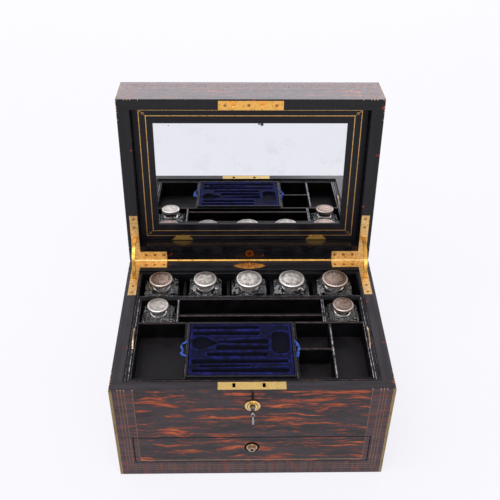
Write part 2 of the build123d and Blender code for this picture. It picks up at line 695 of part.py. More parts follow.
def upper_escutcheon():
    """Stepped brass ring round the key of the box lock."""
    bore = KEY_SHANK_RADIUS + KEY_CLEARANCE
    ring = stepped_disc(UPPER_STEPS, Y_FRONT, UPPER_SPIGOT_RADIUS, LOCK_CASE_SETBACK, bore)
    return Pos(0, 0, Z_KEY) * ring


def key():
    """Steel key, piped over the drill pin, with its bit hanging down."""
    inner = Y_FRONT + LOCK_CASE_SETBACK + LOCK_CASE_THICKNESS - LOCK_SHELL - KEY_CLEARANCE
    y0 = Y_FRONT + LOCK_CASE_SETBACK + LOCK_SHELL + KEY_CLEARANCE
    outer = Y_FRONT - KEY_REACH_OUT
    shank = rod_y(KEY_SHANK_RADIUS, outer, inner, 0, Z_KEY)
    half = KEY_BIT_THICKNESS / 2
    shank += block(-half, half, y0 + 1, inner, Z_KEY - KEY_BIT_RADIUS, Z_KEY)
    shank -= rod_y(DRILL_PIN_RADIUS + KEY_CLEARANCE, y0, inner + 1, 0, Z_KEY)
    collar = Y_FRONT - UPPER_STEPS[-1][1] - 1.5
    shank += rod_y(KEY_SHANK_RADIUS + 0.9, collar - 1.5, collar, 0, Z_KEY)
    shank += Pos(0, outer, Z_KEY) * Sphere(KEY_SHANK_RADIUS + 0.7)
    path = Plane.YZ * Ellipse(KEY_BOW_LENGTH / 2 - KEY_BOW_ROD, KEY_BOW_WIDTH / 2 - KEY_BOW_ROD)
    wire = path.faces()[0].outer_wire()
    section = Plane(origin=wire @ 0, z_dir=wire % 0) * Circle(KEY_BOW_ROD)
    bow = sweep(section, path=wire)
    reach = outer - KEY_BOW_LENGTH / 2 - KEY_SHANK_RADIUS
    return shank + Pos(0, reach + KEY_BOW_ROD, Z_KEY) * bow


# --- drawer -----------------------------------------------------------------
def drawer_bolt_span():
    """Y limits of the drawer's bolt."""
    middle = Y_FRONT + DRAWER_FRONT - DRAWER_LOCK_THICKNESS / 2 - 0.6
    half = DRAWER_BOLT_THICKNESS / 2
    return middle - half, middle + half


def drawer_limits():
    """Half width, height of the lower edge and height of the sides' top."""
    half = X_DRAWER - DRAWER_REVEAL
    top = Z_OPENING_TOP - DRAWER_REVEAL - DRAWER_HEADROOM
    return half, DRAWER_SILL + RUNNER_CLEARANCE, top


def drawer_lock_limits():
    """Box of the drawer lock's case: half width, Y limits and Z limits."""
    back = Y_FRONT + DRAWER_FRONT
    low = DRAWER_SILL + DRAWER_LOCK_RISE - DRAWER_LOCK_BELOW
    front = back - DRAWER_LOCK_THICKNESS
    return DRAWER_LOCK_WIDTH / 2, front, back, low, low + DRAWER_LOCK_HEIGHT


def drawer_front():
    """Drawer front, sunk for its escutcheon and mortised for its lock."""
    half, low, _ = drawer_limits()
    top = Z_OPENING_TOP - DRAWER_REVEAL
    board = block(-half, half, Y_FRONT, Y_FRONT + DRAWER_FRONT, low, top)
    key_height = DRAWER_SILL + DRAWER_LOCK_RISE
    recess = Y_FRONT + LOWER_RECESS_DEPTH
    board -= rod_y(LOWER_RECESS_RADIUS, Y_FRONT - 1, recess, 0, key_height)
    lock, front, back, lock_low, lock_top = drawer_lock_limits()
    board -= rod_y(LOWER_SPIGOT_RADIUS, recess - 1, front, 0, key_height)
    board -= block(-lock, lock, front, back, lock_low, lock_top)
    gap = DRAWER_BOLT_CLEARANCE
    reach = DRAWER_BOLT_WIDTH / 2 + gap
    y0, y1 = drawer_bolt_span()
    return board - block(-reach, reach, y0 - gap, y1 + gap, lock_top, top + 1)


def drawer_box():
    """Two sides and the back of the drawer."""
    half, low, top = drawer_limits()
    half -= DRAWER_SIDE_SLACK
    front = Y_FRONT + DRAWER_FRONT
    end = Y_BOARD - DRAWER_BACK_ROOM
    side = block(half - DRAWER_SIDE, half, front, end, low, top)
    inner = half - DRAWER_SIDE
    back = block(-inner, inner, end - DRAWER_SIDE, end, low, top)
    return group(both_sides(side), back)


def drawer_bottom():
    """Bottom of the drawer, between its walls."""
    half, low, _ = drawer_limits()
    inner = half - DRAWER_SIDE_SLACK - DRAWER_SIDE
    front = Y_FRONT + DRAWER_FRONT
    end = Y_BOARD - DRAWER_BACK_ROOM - DRAWER_SIDE
    lift = low + DRAWER_BOTTOM_LIFT
    return block(-inner, inner, front, end, lift, lift + DRAWER_BOTTOM)


def drawer_lock():
    """Case of the drawer lock with the channel of its bolt."""
    half, front, back, low, top = drawer_lock_limits()
    case = block(-half, half, front, back, low, top)
    gap = DRAWER_BOLT_CLEARANCE
    reach = DRAWER_BOLT_WIDTH / 2 + gap
    y0, y1 = drawer_bolt_span()
    floor = drawer_bolt_foot() - gap
    return case - block(-reach, reach, y0 - gap, y1 + gap, floor, top + 1)


def drawer_bolt_foot():
    """Height of the drawer bolt's lower edge, drawn back."""
    return DRAWER_SILL + DRAWER_LOCK_RISE + LOWER_SPIGOT_RADIUS


def drawer_bolt():
    """Bolt of the drawer lock, drawn back below the drawer's top edge."""
    half = DRAWER_BOLT_WIDTH / 2
    y0, y1 = drawer_bolt_span()
    top = Z_OPENING_TOP - DRAWER_REVEAL - DRAWER_BOLT_CLEARANCE
    return block(-half, half, y0, y1, drawer_bolt_foot(), top)


def lower_escutcheon():
    """Brass nozzle in the drawer's round recess, with its keyhole."""
    key_height = DRAWER_SILL + DRAWER_LOCK_RISE
    seat = Y_FRONT + LOWER_RECESS_DEPTH
    lock_front = drawer_lock_limits()[1]
    bore = KEY_SHANK_RADIUS - 0.5
    ring = stepped_disc(LOWER_STEPS, seat, LOWER_SPIGOT_RADIUS, lock_front - seat, bore)
    half = KEY_BIT_THICKNESS / 2
    front = seat - LOWER_STEPS[-1][1] - 1
    slot = block(-half, half, front, lock_front, -LOWER_SPIGOT_RADIUS + 0.6, 0)
    return Pos(0, 0, key_height) * (ring - slot)


# --- lift-out tray ----------------------------------------------------------
def tray_lines():
    """Named positions of the tray's partitions, from its inner faces."""
    jar_front = Y_TRAY_IN_END - JAR_CELL_DEPTH
    return {
        "row_wall": jar_front - PARTITION,
        "slot_wall": Y_TRAY_IN_END - MIDDLE_SLOT_DEPTH - PARTITION,
        "left_jar_wall": -X_TRAY_IN + JAR_CELL_WIDTH,
        "right_jar_wall": X_TRAY_IN - JAR_CELL_WIDTH - PARTITION,
        "pad_left_wall": -X_TRAY_IN + LEFT_CELL_WIDTH,
        "long_wall": X_TRAY_IN - RIGHT_CELL_WIDTH - PARTITION,
    }


def tray_bottom():
    """Floor of the tray."""
    return block(-X_TRAY, X_TRAY, Y_TRAY, Y_TRAY_END, Z_TRAY, Z_TRAY_FLOOR)


def tray_walls():
    """Four outer walls of the tray, with a sinking for each lift tab."""
    low, top = Z_TRAY_FLOOR, Z_TRAY_TOP
    front = block(-X_TRAY, X_TRAY, Y_TRAY, Y_TRAY_IN, low, top)
    back = block(-X_TRAY, X_TRAY, Y_TRAY_IN_END, Y_TRAY_END, low, top)
    side = block(X_TRAY_IN, X_TRAY, Y_TRAY_IN, Y_TRAY_IN_END, low, top)
    return group(front, back, both_sides(side) - tray_tabs())


def tray_partitions():
    """Partitions of the tray and the rests of the manicure board."""
    at = tray_lines()
    low, top = Z_TRAY_FLOOR, Z_TRAY_TOP
    row, slot, t = at["row_wall"], at["slot_wall"], PARTITION
    left_jar, right_jar = at["left_jar_wall"], at["right_jar_wall"]
    pad_left, long_x = at["pad_left_wall"], at["long_wall"]
    pad_right = long_x - PIN_CELL_WIDTH - t
    cross = row - PIN_CELL_DEPTH - t
    walls = [
        block(-X_TRAY_IN, X_TRAY_IN, row, row + t, low, top),
        block(left_jar, left_jar + t, row + t, Y_TRAY_IN_END, low, top),
        block(right_jar, right_jar + t, row + t, Y_TRAY_IN_END, low, top),
        block(left_jar + t, right_jar, slot, slot + t, low, top),
        block(pad_left, pad_left + t, Y_TRAY_IN, row, low, top),
        block(pad_right, pad_right + t, Y_TRAY_IN, row, low, top),
        block(long_x, long_x + t, Y_TRAY_IN, row, low, top),
        block(pad_right + t, long_x, cross, cross + t, low, top),
    ]
    rest = board_limits()[4]
    for x in (pad_left + t, pad_right - PAD_REST):
        walls.append(block(x, x + PAD_REST, Y_TRAY_IN, row, low, rest))
    return group(*walls)


def tray_tabs():
    """Brass half-moons that stand on the tray's end walls."""
    middle = (Y_TRAY + Y_TRAY_END) / 2
    root = 6.0
    moon = half_moon(TAB_LENGTH, TAB_RISE, TAB_THICKNESS)
    half = TAB_LENGTH / 2
    foot = block(-half, half, 0, TAB_THICKNESS, -root, 0)
    tab = Rot(0, 0, 90) * (moon + foot)
    outer = X_TRAY
    return both_sides(Pos(outer, middle, Z_TRAY_TOP) * tab)


# --- manicure board ---------------------------------------------------------
def board_limits():
    """X, Y and Z limits of the manicure board."""
    at = tray_lines()
    gap = BOARD_CLEARANCE
    x0 = at["pad_left_wall"] + PARTITION + gap
    x1 = at["long_wall"] - PIN_CELL_WIDTH - PARTITION - gap
    top = Z_TRAY_TOP + BOARD_ABOVE_TRAY
    low = top - PAD_THICKNESS - BOARD_BASE
    return x0, x1, Y_TRAY_IN + gap, at["row_wall"] - gap, low, top


def manicure_board():
    """Leather-covered board with a raised border round the velvet."""
    x0, x1, y0, y1, low, top = board_limits()
    board = block(x0, x1, y0, y1, low, top)
    b = BOARD_BORDER
    return board - block(x0 + b, x1 - b, y0 + b, y1 - b, low + BOARD_BASE, top + 1)


def slot_shape(u0, u1, v, w0, w1, depth):
    """A tool pocket with rounded ends, w0 wide at u0 and w1 wide at u1."""
    if w0 == w1:
        pocket = Pos((u0 + u1) / 2, v) * SlotOverall(u1 - u0, w0)
    else:
        r0, r1 = w0 / 2, w1 / 2
        a, b = u0 + r0, u1 - r1
        lean = asin((r0 - r1) / (b - a))
        up = [(a + r0 * sin(lean), v + r0 * cos(lean)), (b + r1 * sin(lean), v + r1 * cos(lean))]
        down = [(x, 2 * v - y) for x, y in reversed(up)]
        taper = make_face(Polyline(*up, *down, close=True))
        pocket = taper + Pos(a, v) * Circle(r0) + Pos(b, v) * Circle(r1)
    return extrude(pocket, amount=depth)


def velvet_pad():
    """Velvet pad with a pocket for each manicure tool."""
    x0, x1, y0, y1, low, top = board_limits()
    inset = BOARD_BORDER + PAD_GAP
    floor = low + BOARD_BASE + PAD_GAP
    pad = block(x0 + inset, x1 - inset, y0 + inset, y1 - inset, floor, top)
    middle = Pos((x0 + x1) / 2, (y0 + y1) / 2, top - POCKET_DEPTH)
    wide, deep = x1 - x0, y1 - y0
    for u0, u1, v, w0, w1 in TOOL_POCKETS:
        ends = (u0 * wide, u1 * wide, v * deep, w0 * deep, w1 * deep)
        pad -= middle * slot_shape(*ends, 2 * POCKET_DEPTH)
    u, v, share_wide, share_deep = WIDE_POCKET
    width = share_wide * wide
    outline = RectangleRounded(width, share_deep * deep, WIDE_POCKET_CORNER * width)
    well = extrude(Pos(u * wide, v * deep) * outline, amount=2 * POCKET_DEPTH)
    return pad - middle * well


def ribbon_pulls():
    """Silk loops on the ends of the board, lying over the partitions."""
    x0, x1, y0, y1, _, top = board_limits()
    y = (y0 + y1) / 2
    low = Z_TRAY_TOP + RIBBON_CLEARANCE
    loop = extrude(Ellipse(RIBBON_REACH, RIBBON_SPAN / 2), amount=RIBBON_THICKNESS)
    hole = Ellipse(RIBBON_REACH - RIBBON_WIDTH / 2, RIBBON_SPAN / 2 - RIBBON_WIDTH)
    loop -= extrude(hole, amount=RIBBON_THICKNESS)
    right = loop & block(0, RIBBON_REACH, -RIBBON_SPAN, RIBBON_SPAN, 0, RIBBON_THICKNESS)
    left = mirror(right, about=Plane.YZ)
    return group(Pos(x0, y, low) * left, Pos(x1, y, low) * right)


# --- jars and their silver lids ----------------------------------------------
def jar_heights(foot):
    """Shoulder, mouth and underside of the lid for a jar on a floor."""
    mouth = Z_JAR_TOP - LID_METAL
    return mouth - NECK_HEIGHT - foot, mouth - foot, Z_JAR_TOP - LID_HOOD


def jar(width, depth, lid_radius, foot):
    """Square cut-glass jar with bevelled corners, domed shoulder and bore."""
    shoulder, mouth, _ = jar_heights(foot)
    neck = NECK_SHARE * lid_radius
    body = extrude(Rectangle(width, depth), amount=shoulder)
    body = chamfer(body.edges().filter_by(Axis.Z), JAR_CORNER)
    reach = hypot(width, depth) / 2
    edge = shoulder - JAR_SHOULDER
    dome = SagittaArc((reach, edge), (neck, shoulder), -JAR_DOME)
    outline = Polyline((neck, shoulder), (0, shoulder), (0, 0), (reach, 0), (reach, edge))
    body &= revolve(Plane.XZ * make_face(dome + outline), Axis.Z)
    body += Pos(0, 0, shoulder) * extrude(RegularPolygon(neck, 8), amount=mouth - shoulder)
    bore = min(width, depth) / 2 - JAR_GLASS
    throat = neck - NECK_GLASS
    hollow = [(0, JAR_GLASS), (bore, JAR_GLASS), (bore, edge - JAR_DOME), (throat, shoulder)]
    hollow += [(throat, mouth + 1), (0, mouth + 1)]
    return body - turned(hollow)


def silver_lid(lid_radius, foot):
    """Domed silver lid that fits over the neck of a jar."""
    _, mouth, skirt = jar_heights(foot)
    skirt -= foot
    top = mouth + LID_METAL
    inner = NECK_SHARE * lid_radius + LID_FIT
    dome = 0.9
    profile = [(inner, skirt), (lid_radius - 0.5, skirt), (lid_radius, skirt + 0.6)]
    profile += [(lid_radius, top - dome - 0.6), (lid_radius - 0.8, top - dome)]
    profile += [(lid_radius * 0.5, top - 0.2), (0, top), (0, mouth + 0.05), (inner, mouth + 0.05)]
    return turned(profile)


def jar_places():
    """Every jar: name, x, y, foot, width, depth and lid radius."""
    pitch = 2 * X_LINING / JAR_CELLS
    back_y = (Y_RACK + RACK_WALL + Y_LINING_BACK) / 2
    foot = Z_FLOOR + FLOOR_GAP
    places = []
    for n, ((width, depth, lid_radius), share) in enumerate(TALL_JARS):
        slack = (pitch - RACK_WALL - width) / 2
        x = (n - (JAR_CELLS - 1) / 2) * pitch + share * slack
        places.append((f"tall_{n + 1}", x, back_y, foot, width, depth, lid_radius))
    small_x = X_TRAY_IN - JAR_CELL_WIDTH / 2
    small_y = Y_TRAY_IN_END - JAR_CELL_DEPTH / 2
    foot = Z_TRAY_FLOOR + FLOOR_GAP
    small = (SMALL_JAR_WIDTH, SMALL_JAR_DEPTH, SMALL_JAR_LID)
    for name, x in (("small_left", -small_x), ("small_right", small_x)):
        places.append((name, x, small_y, foot, *small))
    return places


# --- lid, drawn shut ---------------------------------------------------------
def lid_cuts():
    """All that is cut from the lid's boards along the hinge line."""
    leaves = both_sides(leaf_outline(Z_LID, Z_LID + LEAF_THICKNESS))
    cove = knuckle_cuts(BEAD_RADIUS + BEAD_CLEARANCE)
    screws = leaf_screws(Z_LID, False)
    return group(leaves, cove, screws)


def lid_board(x0, x1, y0, y1, z0, z1):
    """One board of the lid, cut for hinges, bevel and corner strips."""
    board = block(x0, x1, y0, y1, z0, z1)
    for cutter in lid_cuts().solids():
        board -= cutter
    board -= back_bevel(Z_LID, 1)
    return board - corner_strips(Z_LID, Z_LID_TOP - LID_TOP_ROUND)


def lid_top():
    """Top panel of the lid, with rounded edges."""
    panel = block(-X_OUT, X_OUT, Y_FRONT, Y_BACK, Z_LID_TOP - LID_PANEL, Z_LID_TOP)
    rim = panel.faces().sort_by(Axis.Z)[-1].edges()
    panel = fillet(rim, LID_TOP_ROUND)
    return panel - corner_strips(Z_LID, Z_LID_TOP - LID_TOP_ROUND)


def lid_front_wall():
    """Front wall of the lid, sunk for the strike plate."""
    top = Z_LID_TOP - LID_PANEL
    wall = lid_board(-X_OUT, X_OUT, Y_FRONT, Y_FRONT + LID_FRONT_WALL, Z_LID, top)
    return wall - strike_body() - strike_screws()


def lid_side_walls():
    """Side walls of the lid."""
    inner = X_OUT - LID_SIDE_WALL
    top = Z_LID_TOP - LID_PANEL
    wall = lid_board(inner, X_OUT, Y_FRONT + LID_FRONT_WALL, Y_BACK - LID_BACK_WALL, Z_LID, top)
    return both_sides(wall)


def lid_back_wall():
    """Back wall of the lid, bored for the socket of the peg."""
    top = Z_LID_TOP - LID_PANEL
    wall = lid_board(-X_OUT, X_OUT, Y_BACK - LID_BACK_WALL, Y_BACK, Z_LID, top)
    return wall - socket_body()


def lid_lining():
    """Ledges that the mirror panel rests on, and the covering above it."""
    inner = X_OUT - LID_SIDE_WALL
    front, back = Y_FRONT + LID_FRONT_WALL, Y_BACK - LID_BACK_WALL
    top = Z_LID_TOP - LID_PANEL
    low, ceiling = Z_LID + PANEL_DEPTH + PANEL_THICKNESS, top - CEILING_LINING
    w = PANEL_LEDGE
    side = block(inner - w, inner, front, back, low, ceiling)
    ends = [block(w - inner, inner - w, front, front + w, low, ceiling)]
    ends.append(block(w - inner, inner - w, back - w, back, low, ceiling))
    sheet = block(-inner, inner, front, back, ceiling, top)
    return group(both_sides(side), *ends, sheet)


def strike_body():
    """Plate of the lid's half of the lock."""
    half = STRIKE_LENGTH / 2
    y = Y_FRONT + STRIKE_SETBACK
    return block(-half, half, y, y + STRIKE_WIDTH, Z_LID, Z_LID + STRIKE_THICKNESS)


def strike_screws():
    """Three screws of the strike plate."""
    y = Y_FRONT + STRIKE_SETBACK + STRIKE_WIDTH / 2
    reach = STRIKE_LENGTH / 2 - STRIKE_SCREW_END
    return group(*[screw(x, y, Z_LID, False) for x in (-reach, STRIKE_SCREW_OFFSET, reach)])


def strike_plate():
    """Strike plate with the two hooks that drop through the rim plate."""
    plate = strike_body() - strike_screws()
    low, high = hook_window()
    y = Y_FRONT + HOOK_Y
    half = HOOK_THICKNESS / 2
    wide = BOLT_THICKNESS / 2 + HOOK_CLEARANCE
    for x in hook_places():
        tip = Z_LID - HOOK_LENGTH
        hook = block(x - half, x + half, y - HOOK_WIDTH / 2, y + HOOK_WIDTH / 2, tip, Z_LID)
        hook = fillet(hook.faces().sort_by(Axis.Z)[0].edges().filter_by(Axis.X), HOOK_THICKNESS / 2)
        plate += hook - block(x - 1 - half, x + 1 + half, y - wide, y + wide, low, high)
    return plate


def lid_screws():
    """Screws of the lid's hinge leaves and of the strike plate."""
    return group(leaf_screws(Z_LID, False), strike_screws())


def socket_body():
    """Outer shape of the peg's socket: a flange and a short tube."""
    tube = SOCKET_BORE + SOCKET_WALL
    profile = [(0, 0), (SOCKET_RADIUS, 0), (SOCKET_RADIUS, PIN_PLATE_THICKNESS)]
    profile += [(tube, PIN_PLATE_THICKNESS), (tube, SOCKET_DEPTH), (0, SOCKET_DEPTH)]
    return Pos(0, Y_HINGE - PEG_FROM_HINGE, Z_LID) * turned(profile)


def peg_socket():
    """Brass socket in the lid's back rim for the peg."""
    hole = Cylinder(SOCKET_BORE, 2 * (SOCKET_DEPTH - SOCKET_WALL))
    return socket_body() - Pos(0, Y_HINGE - PEG_FROM_HINGE, Z_LID) * hole


def lid_hinge_leaves():
    """Leaves let into the lid, with the roots of the arms let through them."""
    bore = PIN_RADIUS + PIN_CLEARANCE
    leaves = hinge_leaves(Z_LID, Z_LID + LEAF_THICKNESS, 1, bore)
    return group(leaves - quadrant_arms() - leaf_screws(Z_LID, False))


def quadrant_arms():
    """Curved brass arms that run in the base as the lid shuts."""
    root = degrees(asin((LEAF_THICKNESS + RIM_GAP) / ARM_RADIUS))
    arm = arm_sector(0, -2 * root, LID_OPEN_DEG + ARM_TAIL_DEG)
    above = block(-X_OUT, X_OUT, Y_FRONT, Y_BACK, Z_LID + LEAF_THICKNESS, Z_LID_TOP)
    return both_sides(arm - above)


# --- mirror panel, drawn in the shut lid --------------------------------------
def panel_limits():
    """X half width and the Y and Z limits of the mirror panel."""
    gap = PANEL_CLEARANCE
    half = X_OUT - LID_SIDE_WALL - gap
    front, back = Y_FRONT + LID_FRONT_WALL + gap, Y_BACK - LID_BACK_WALL - gap
    low = Z_LID + PANEL_DEPTH
    return half, front, back, low, low + PANEL_THICKNESS


def panel_inner(extra, z0, z1):
    """The frame's opening, widened all round, between two heights."""
    half, front, back, _, _ = panel_limits()
    inset = FRAME_BORDER - extra
    return block(inset - half, half - inset, front + inset, back - inset, z0, z1)


def mirror_frame():
    """Leather-covered frame, rebated behind for the glass."""
    half, front, back, low, top = panel_limits()
    frame = block(-half, half, front, back, low, top)
    frame -= panel_inner(0, low - 1, top + 1)
    edges = frame.edges().group_by(Axis.Z)[0]
    inner = [e for e in edges if abs(e.center().X) < half - 1 and front + 1 < e.center().Y < back - 1]
    frame = chamfer(inner, GLASS_SETBACK / 2)
    return frame - panel_inner(GLASS_LAP, low + GLASS_SETBACK, top + 1)


def mirror_glass():
    """Mirror plate in the frame's rebate."""
    z = panel_limits()[3] + GLASS_SETBACK
    return panel_inner(GLASS_LAP - GLASS_CLEARANCE, z, z + GLASS_THICKNESS)


def mirror_back():
    """Thin board that holds the glass in its frame."""
    _, _, _, low, top = panel_limits()
    z = low + GLASS_SETBACK + GLASS_THICKNESS
    return panel_inner(GLASS_LAP, z, top)


def mirror_pulls():
    """Brass half-moons on the frame's lower edge."""
    half, _, back, low, _ = panel_limits()
    moon = Rot(90, 0, 0) * half_moon(PULL_LENGTH, PULL_HEIGHT, PULL_THICKNESS)
    moon = Pos(half - PULL_FROM_END, back, low - PULL_THICKNESS) * moon
    return both_sides(moon)


# --- every sub-part, by name --------------------------------------------------
def shut_lid_parts():
    """The lid and its mirror panel, before they are swung open."""
    return {
        "lid_top": lid_top(),
        "lid_front_wall": lid_front_wall(),
        "lid_side_walls": lid_side_walls(),
        "lid_back_wall": lid_back_wall(),
        "lid_lining": lid_lining(),
        "lid_corner_strips": lid_corner_strips(),
        "strike_plate": strike_plate(),
        "lid_screws": lid_screws(),
        "peg_socket": peg_socket(),
        "lid_hinge_leaves": lid_hinge_leaves(),
        "quadrant_arms": quadrant_arms(),
        "mirror_frame": mirror_frame(),
        "mirror_glass": mirror_glass(),
        "mirror_back": mirror_back(),
        "mirror_pulls": mirror_pulls(),
    }


def fixed_parts():
    """Everything but the lid and the jars, where it stands."""
    return {
        "base_front": base_front(),
        "base_sides": base_sides(),
        "base_back": base_back(),
        "hinge_rail": hinge_rail(),
        "base_bottom": base_bottom(),
        "drawer_divider": drawer_divider(),
        "drawer_runners": drawer_runners(),
        "base_lining": base_lining(),
        "jar_rack": jar_rack(),
        "base_corner_strips": base_corner_strips(),
        "hinge_bead": hinge_bead(),
        "base_hinge_leaves": base_hinge_leaves(),
        "hinge_fasteners": hinge_fasteners(),
        "pin_plate": pin_plate(),
        "box_lock": box_lock(),
        "lock_bolt": lock_bolt(),
        "upper_escutcheon": upper_escutcheon(),
        "key": key(),
        "drawer_front": drawer_front(),
        "drawer_box": drawer_box(),
        "drawer_bottom": drawer_bottom(),
        "drawer_lock": drawer_lock(),
        "drawer_bolt": drawer_bolt(),
        "lower_escutcheon": lower_escutcheon(),
        "tray_bottom": tray_bottom(),
        "tray_walls": tray_walls(),
        "tray_partitions": tray_partitions(),
        "tray_tabs": tray_tabs(),
        "manicure_board": manicure_board(),
        "velvet_pad": velvet_pad(),
        "ribbon_pulls": ribbon_pulls(),
    }


def jar_parts():
    """Each jar and its silver lid."""
    parts = {}
    for name, x, y, foot, width, depth, lid_radius in jar_places():
        place = Pos(x, y, foot)
        parts[f"jar_{name}"] = place * jar(width, depth, lid_radius, foot)
        parts[f"jar_lid_{name}"] = place * silver_lid(lid_radius, foot)
    return parts


def main():
    """Build every sub-part and write one STEP file for each."""
    os.makedirs("parts", exist_ok=True)
    lid = {name: opened(piece) for name, piece in shut_lid_parts().items()}
    for name, piece in {**fixed_parts(), **lid, **jar_parts()}.items():
        export_step(piece, f"parts/{name}.step")


main()
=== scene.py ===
"""Finishes, small trim, soft pieces and studio for the fitted dressing box.

The frame is the box's own: X right, Y back, Z up, with the origin in the middle of the
underside. Lengths are worked out in millimetres and go into the scene in metres. Lid
pieces are worked out for the shut box and then swung open about the hinge line.
"""

import logging
import math
import random
from dataclasses import dataclass, field, replace
from enum import Enum
from typing import Any, Callable, Optional, Sequence

import bmesh
import bpy
from mathutils import Matrix, Vector
from mathutils import noise as smooth_noise


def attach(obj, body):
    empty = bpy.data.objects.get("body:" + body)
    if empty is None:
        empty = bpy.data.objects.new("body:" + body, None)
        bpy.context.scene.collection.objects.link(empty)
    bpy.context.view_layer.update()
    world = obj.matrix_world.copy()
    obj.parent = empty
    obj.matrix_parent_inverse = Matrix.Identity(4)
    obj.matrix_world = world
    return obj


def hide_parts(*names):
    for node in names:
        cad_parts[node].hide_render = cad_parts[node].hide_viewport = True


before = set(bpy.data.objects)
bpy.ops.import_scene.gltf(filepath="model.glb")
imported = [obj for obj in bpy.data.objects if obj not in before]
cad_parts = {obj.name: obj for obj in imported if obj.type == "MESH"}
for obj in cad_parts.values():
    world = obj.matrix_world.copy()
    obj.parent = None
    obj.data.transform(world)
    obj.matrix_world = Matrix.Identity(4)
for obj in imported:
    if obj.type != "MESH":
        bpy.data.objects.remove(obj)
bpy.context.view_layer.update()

LOG = logging.getLogger("dressing_box")
MM = 0.001

# The box's own measures, in millimetres.
X_OUT = 152.5
Y_OUT = 111.5
Z_RIM = 144.0
Z_LID_RIM = 144.3
Z_LID_TOP = 198.3
Y_HINGE = 106.5
Z_HINGE = 144.15
LID_SWING = math.radians(95.0)

# An inlay goes this far into its face; a film of dirt or gold leaf stands this far off it.
SUNK = 0.25
FILM = 0.03

# Radians that a wave texture goes through for each unit of place along an axis.
WAVE_RATE = 20.0

FRONTWARD = (0.0, -1.0, 0.0)
UPWARD = (0.0, 0.0, 1.0)
DOWNWARD = (0.0, 0.0, -1.0)

Point = tuple[float, float, float]
Placing = Callable[[Sequence[float]], Point]


class Setting(Enum):
    """Which half of the box a pattern is laid out on."""

    BASE = "base"
    LID = "lid"


class Panel(Enum):
    """The two box axes that a veneered face spreads along."""

    FRONT = (0, 2)
    SIDE = (1, 2)
    TOP = (0, 1)


def linear(code: str) -> tuple[float, float, float, float]:
    """Turn an sRGB hex colour into linear light.

    Args:
        code: Colour as # and six hex digits.

    Returns:
        Red, green and blue, each from 0 to 1, and full opacity.
    """
    parts = [int(code[i : i + 2], 16) / 255 for i in (1, 3, 5)]
    red, green, blue = [c / 12.92 if c <= 0.04045 else ((c + 0.055) / 1.055) ** 2.4 for c in parts]
    return (red, green, blue, 1.0)


def add(
    tree: bpy.types.NodeTree, kind: str, inputs: Optional[dict] = None, **settings: Any
) -> bpy.types.Node:
    """Add one node, set it up and feed it.

    Args:
        tree: Node tree that takes the node.
        kind: Node type, without the ShaderNode prefix.
        inputs: Sockets or plain values for its inputs, by name or index.
        settings: Values of the node's own attributes.

    Returns:
        The new node.
    """
    node = tree.nodes.new("ShaderNode" + kind)
    for key, value in settings.items():
        setattr(node, key, value)
    for key, value in (inputs or {}).items():
        if isinstance(value, bpy.types.NodeSocket):
            tree.links.new(value, node.inputs[key])
        else:
            node.inputs[key].default_value = value
    return node


def met_directly(tree: bpy.types.NodeTree) -> Any:
    """Whether the eye, gloss or clear glass meets a surface, as a socket; soft light is 0."""
    rays = add(tree, "LightPath").outputs
    met = rays["Is Camera Ray"]
    for other in ("Is Glossy Ray", "Is Transmission Ray"):
        met = add(tree, "Math", {0: met, 1: rays[other]}, operation="MAXIMUM").outputs[0]
    return met


def as_is(point: Sequence[float]) -> Point:
    """Leave a point of the base where it is."""
    return (point[0], point[1], point[2])


def swung_open(point: Sequence[float]) -> Point:
    """Move a point of the shut lid, in millimetres, to where it is with the lid open."""
    x, y, z = point
    dy, dz = y - Y_HINGE, z - Z_HINGE
    c, s = math.cos(LID_SWING), math.sin(LID_SWING)
    return (x, Y_HINGE + c * dy + s * dz, Z_HINGE - s * dy + c * dz)


# The placing, the rim's height and the way the rim faces, for each half of the box.
HALVES: dict[Setting, tuple[Placing, float, Point]] = {
    Setting.BASE: (as_is, Z_RIM, UPWARD),
    Setting.LID: (swung_open, Z_LID_RIM, DOWNWARD),
}


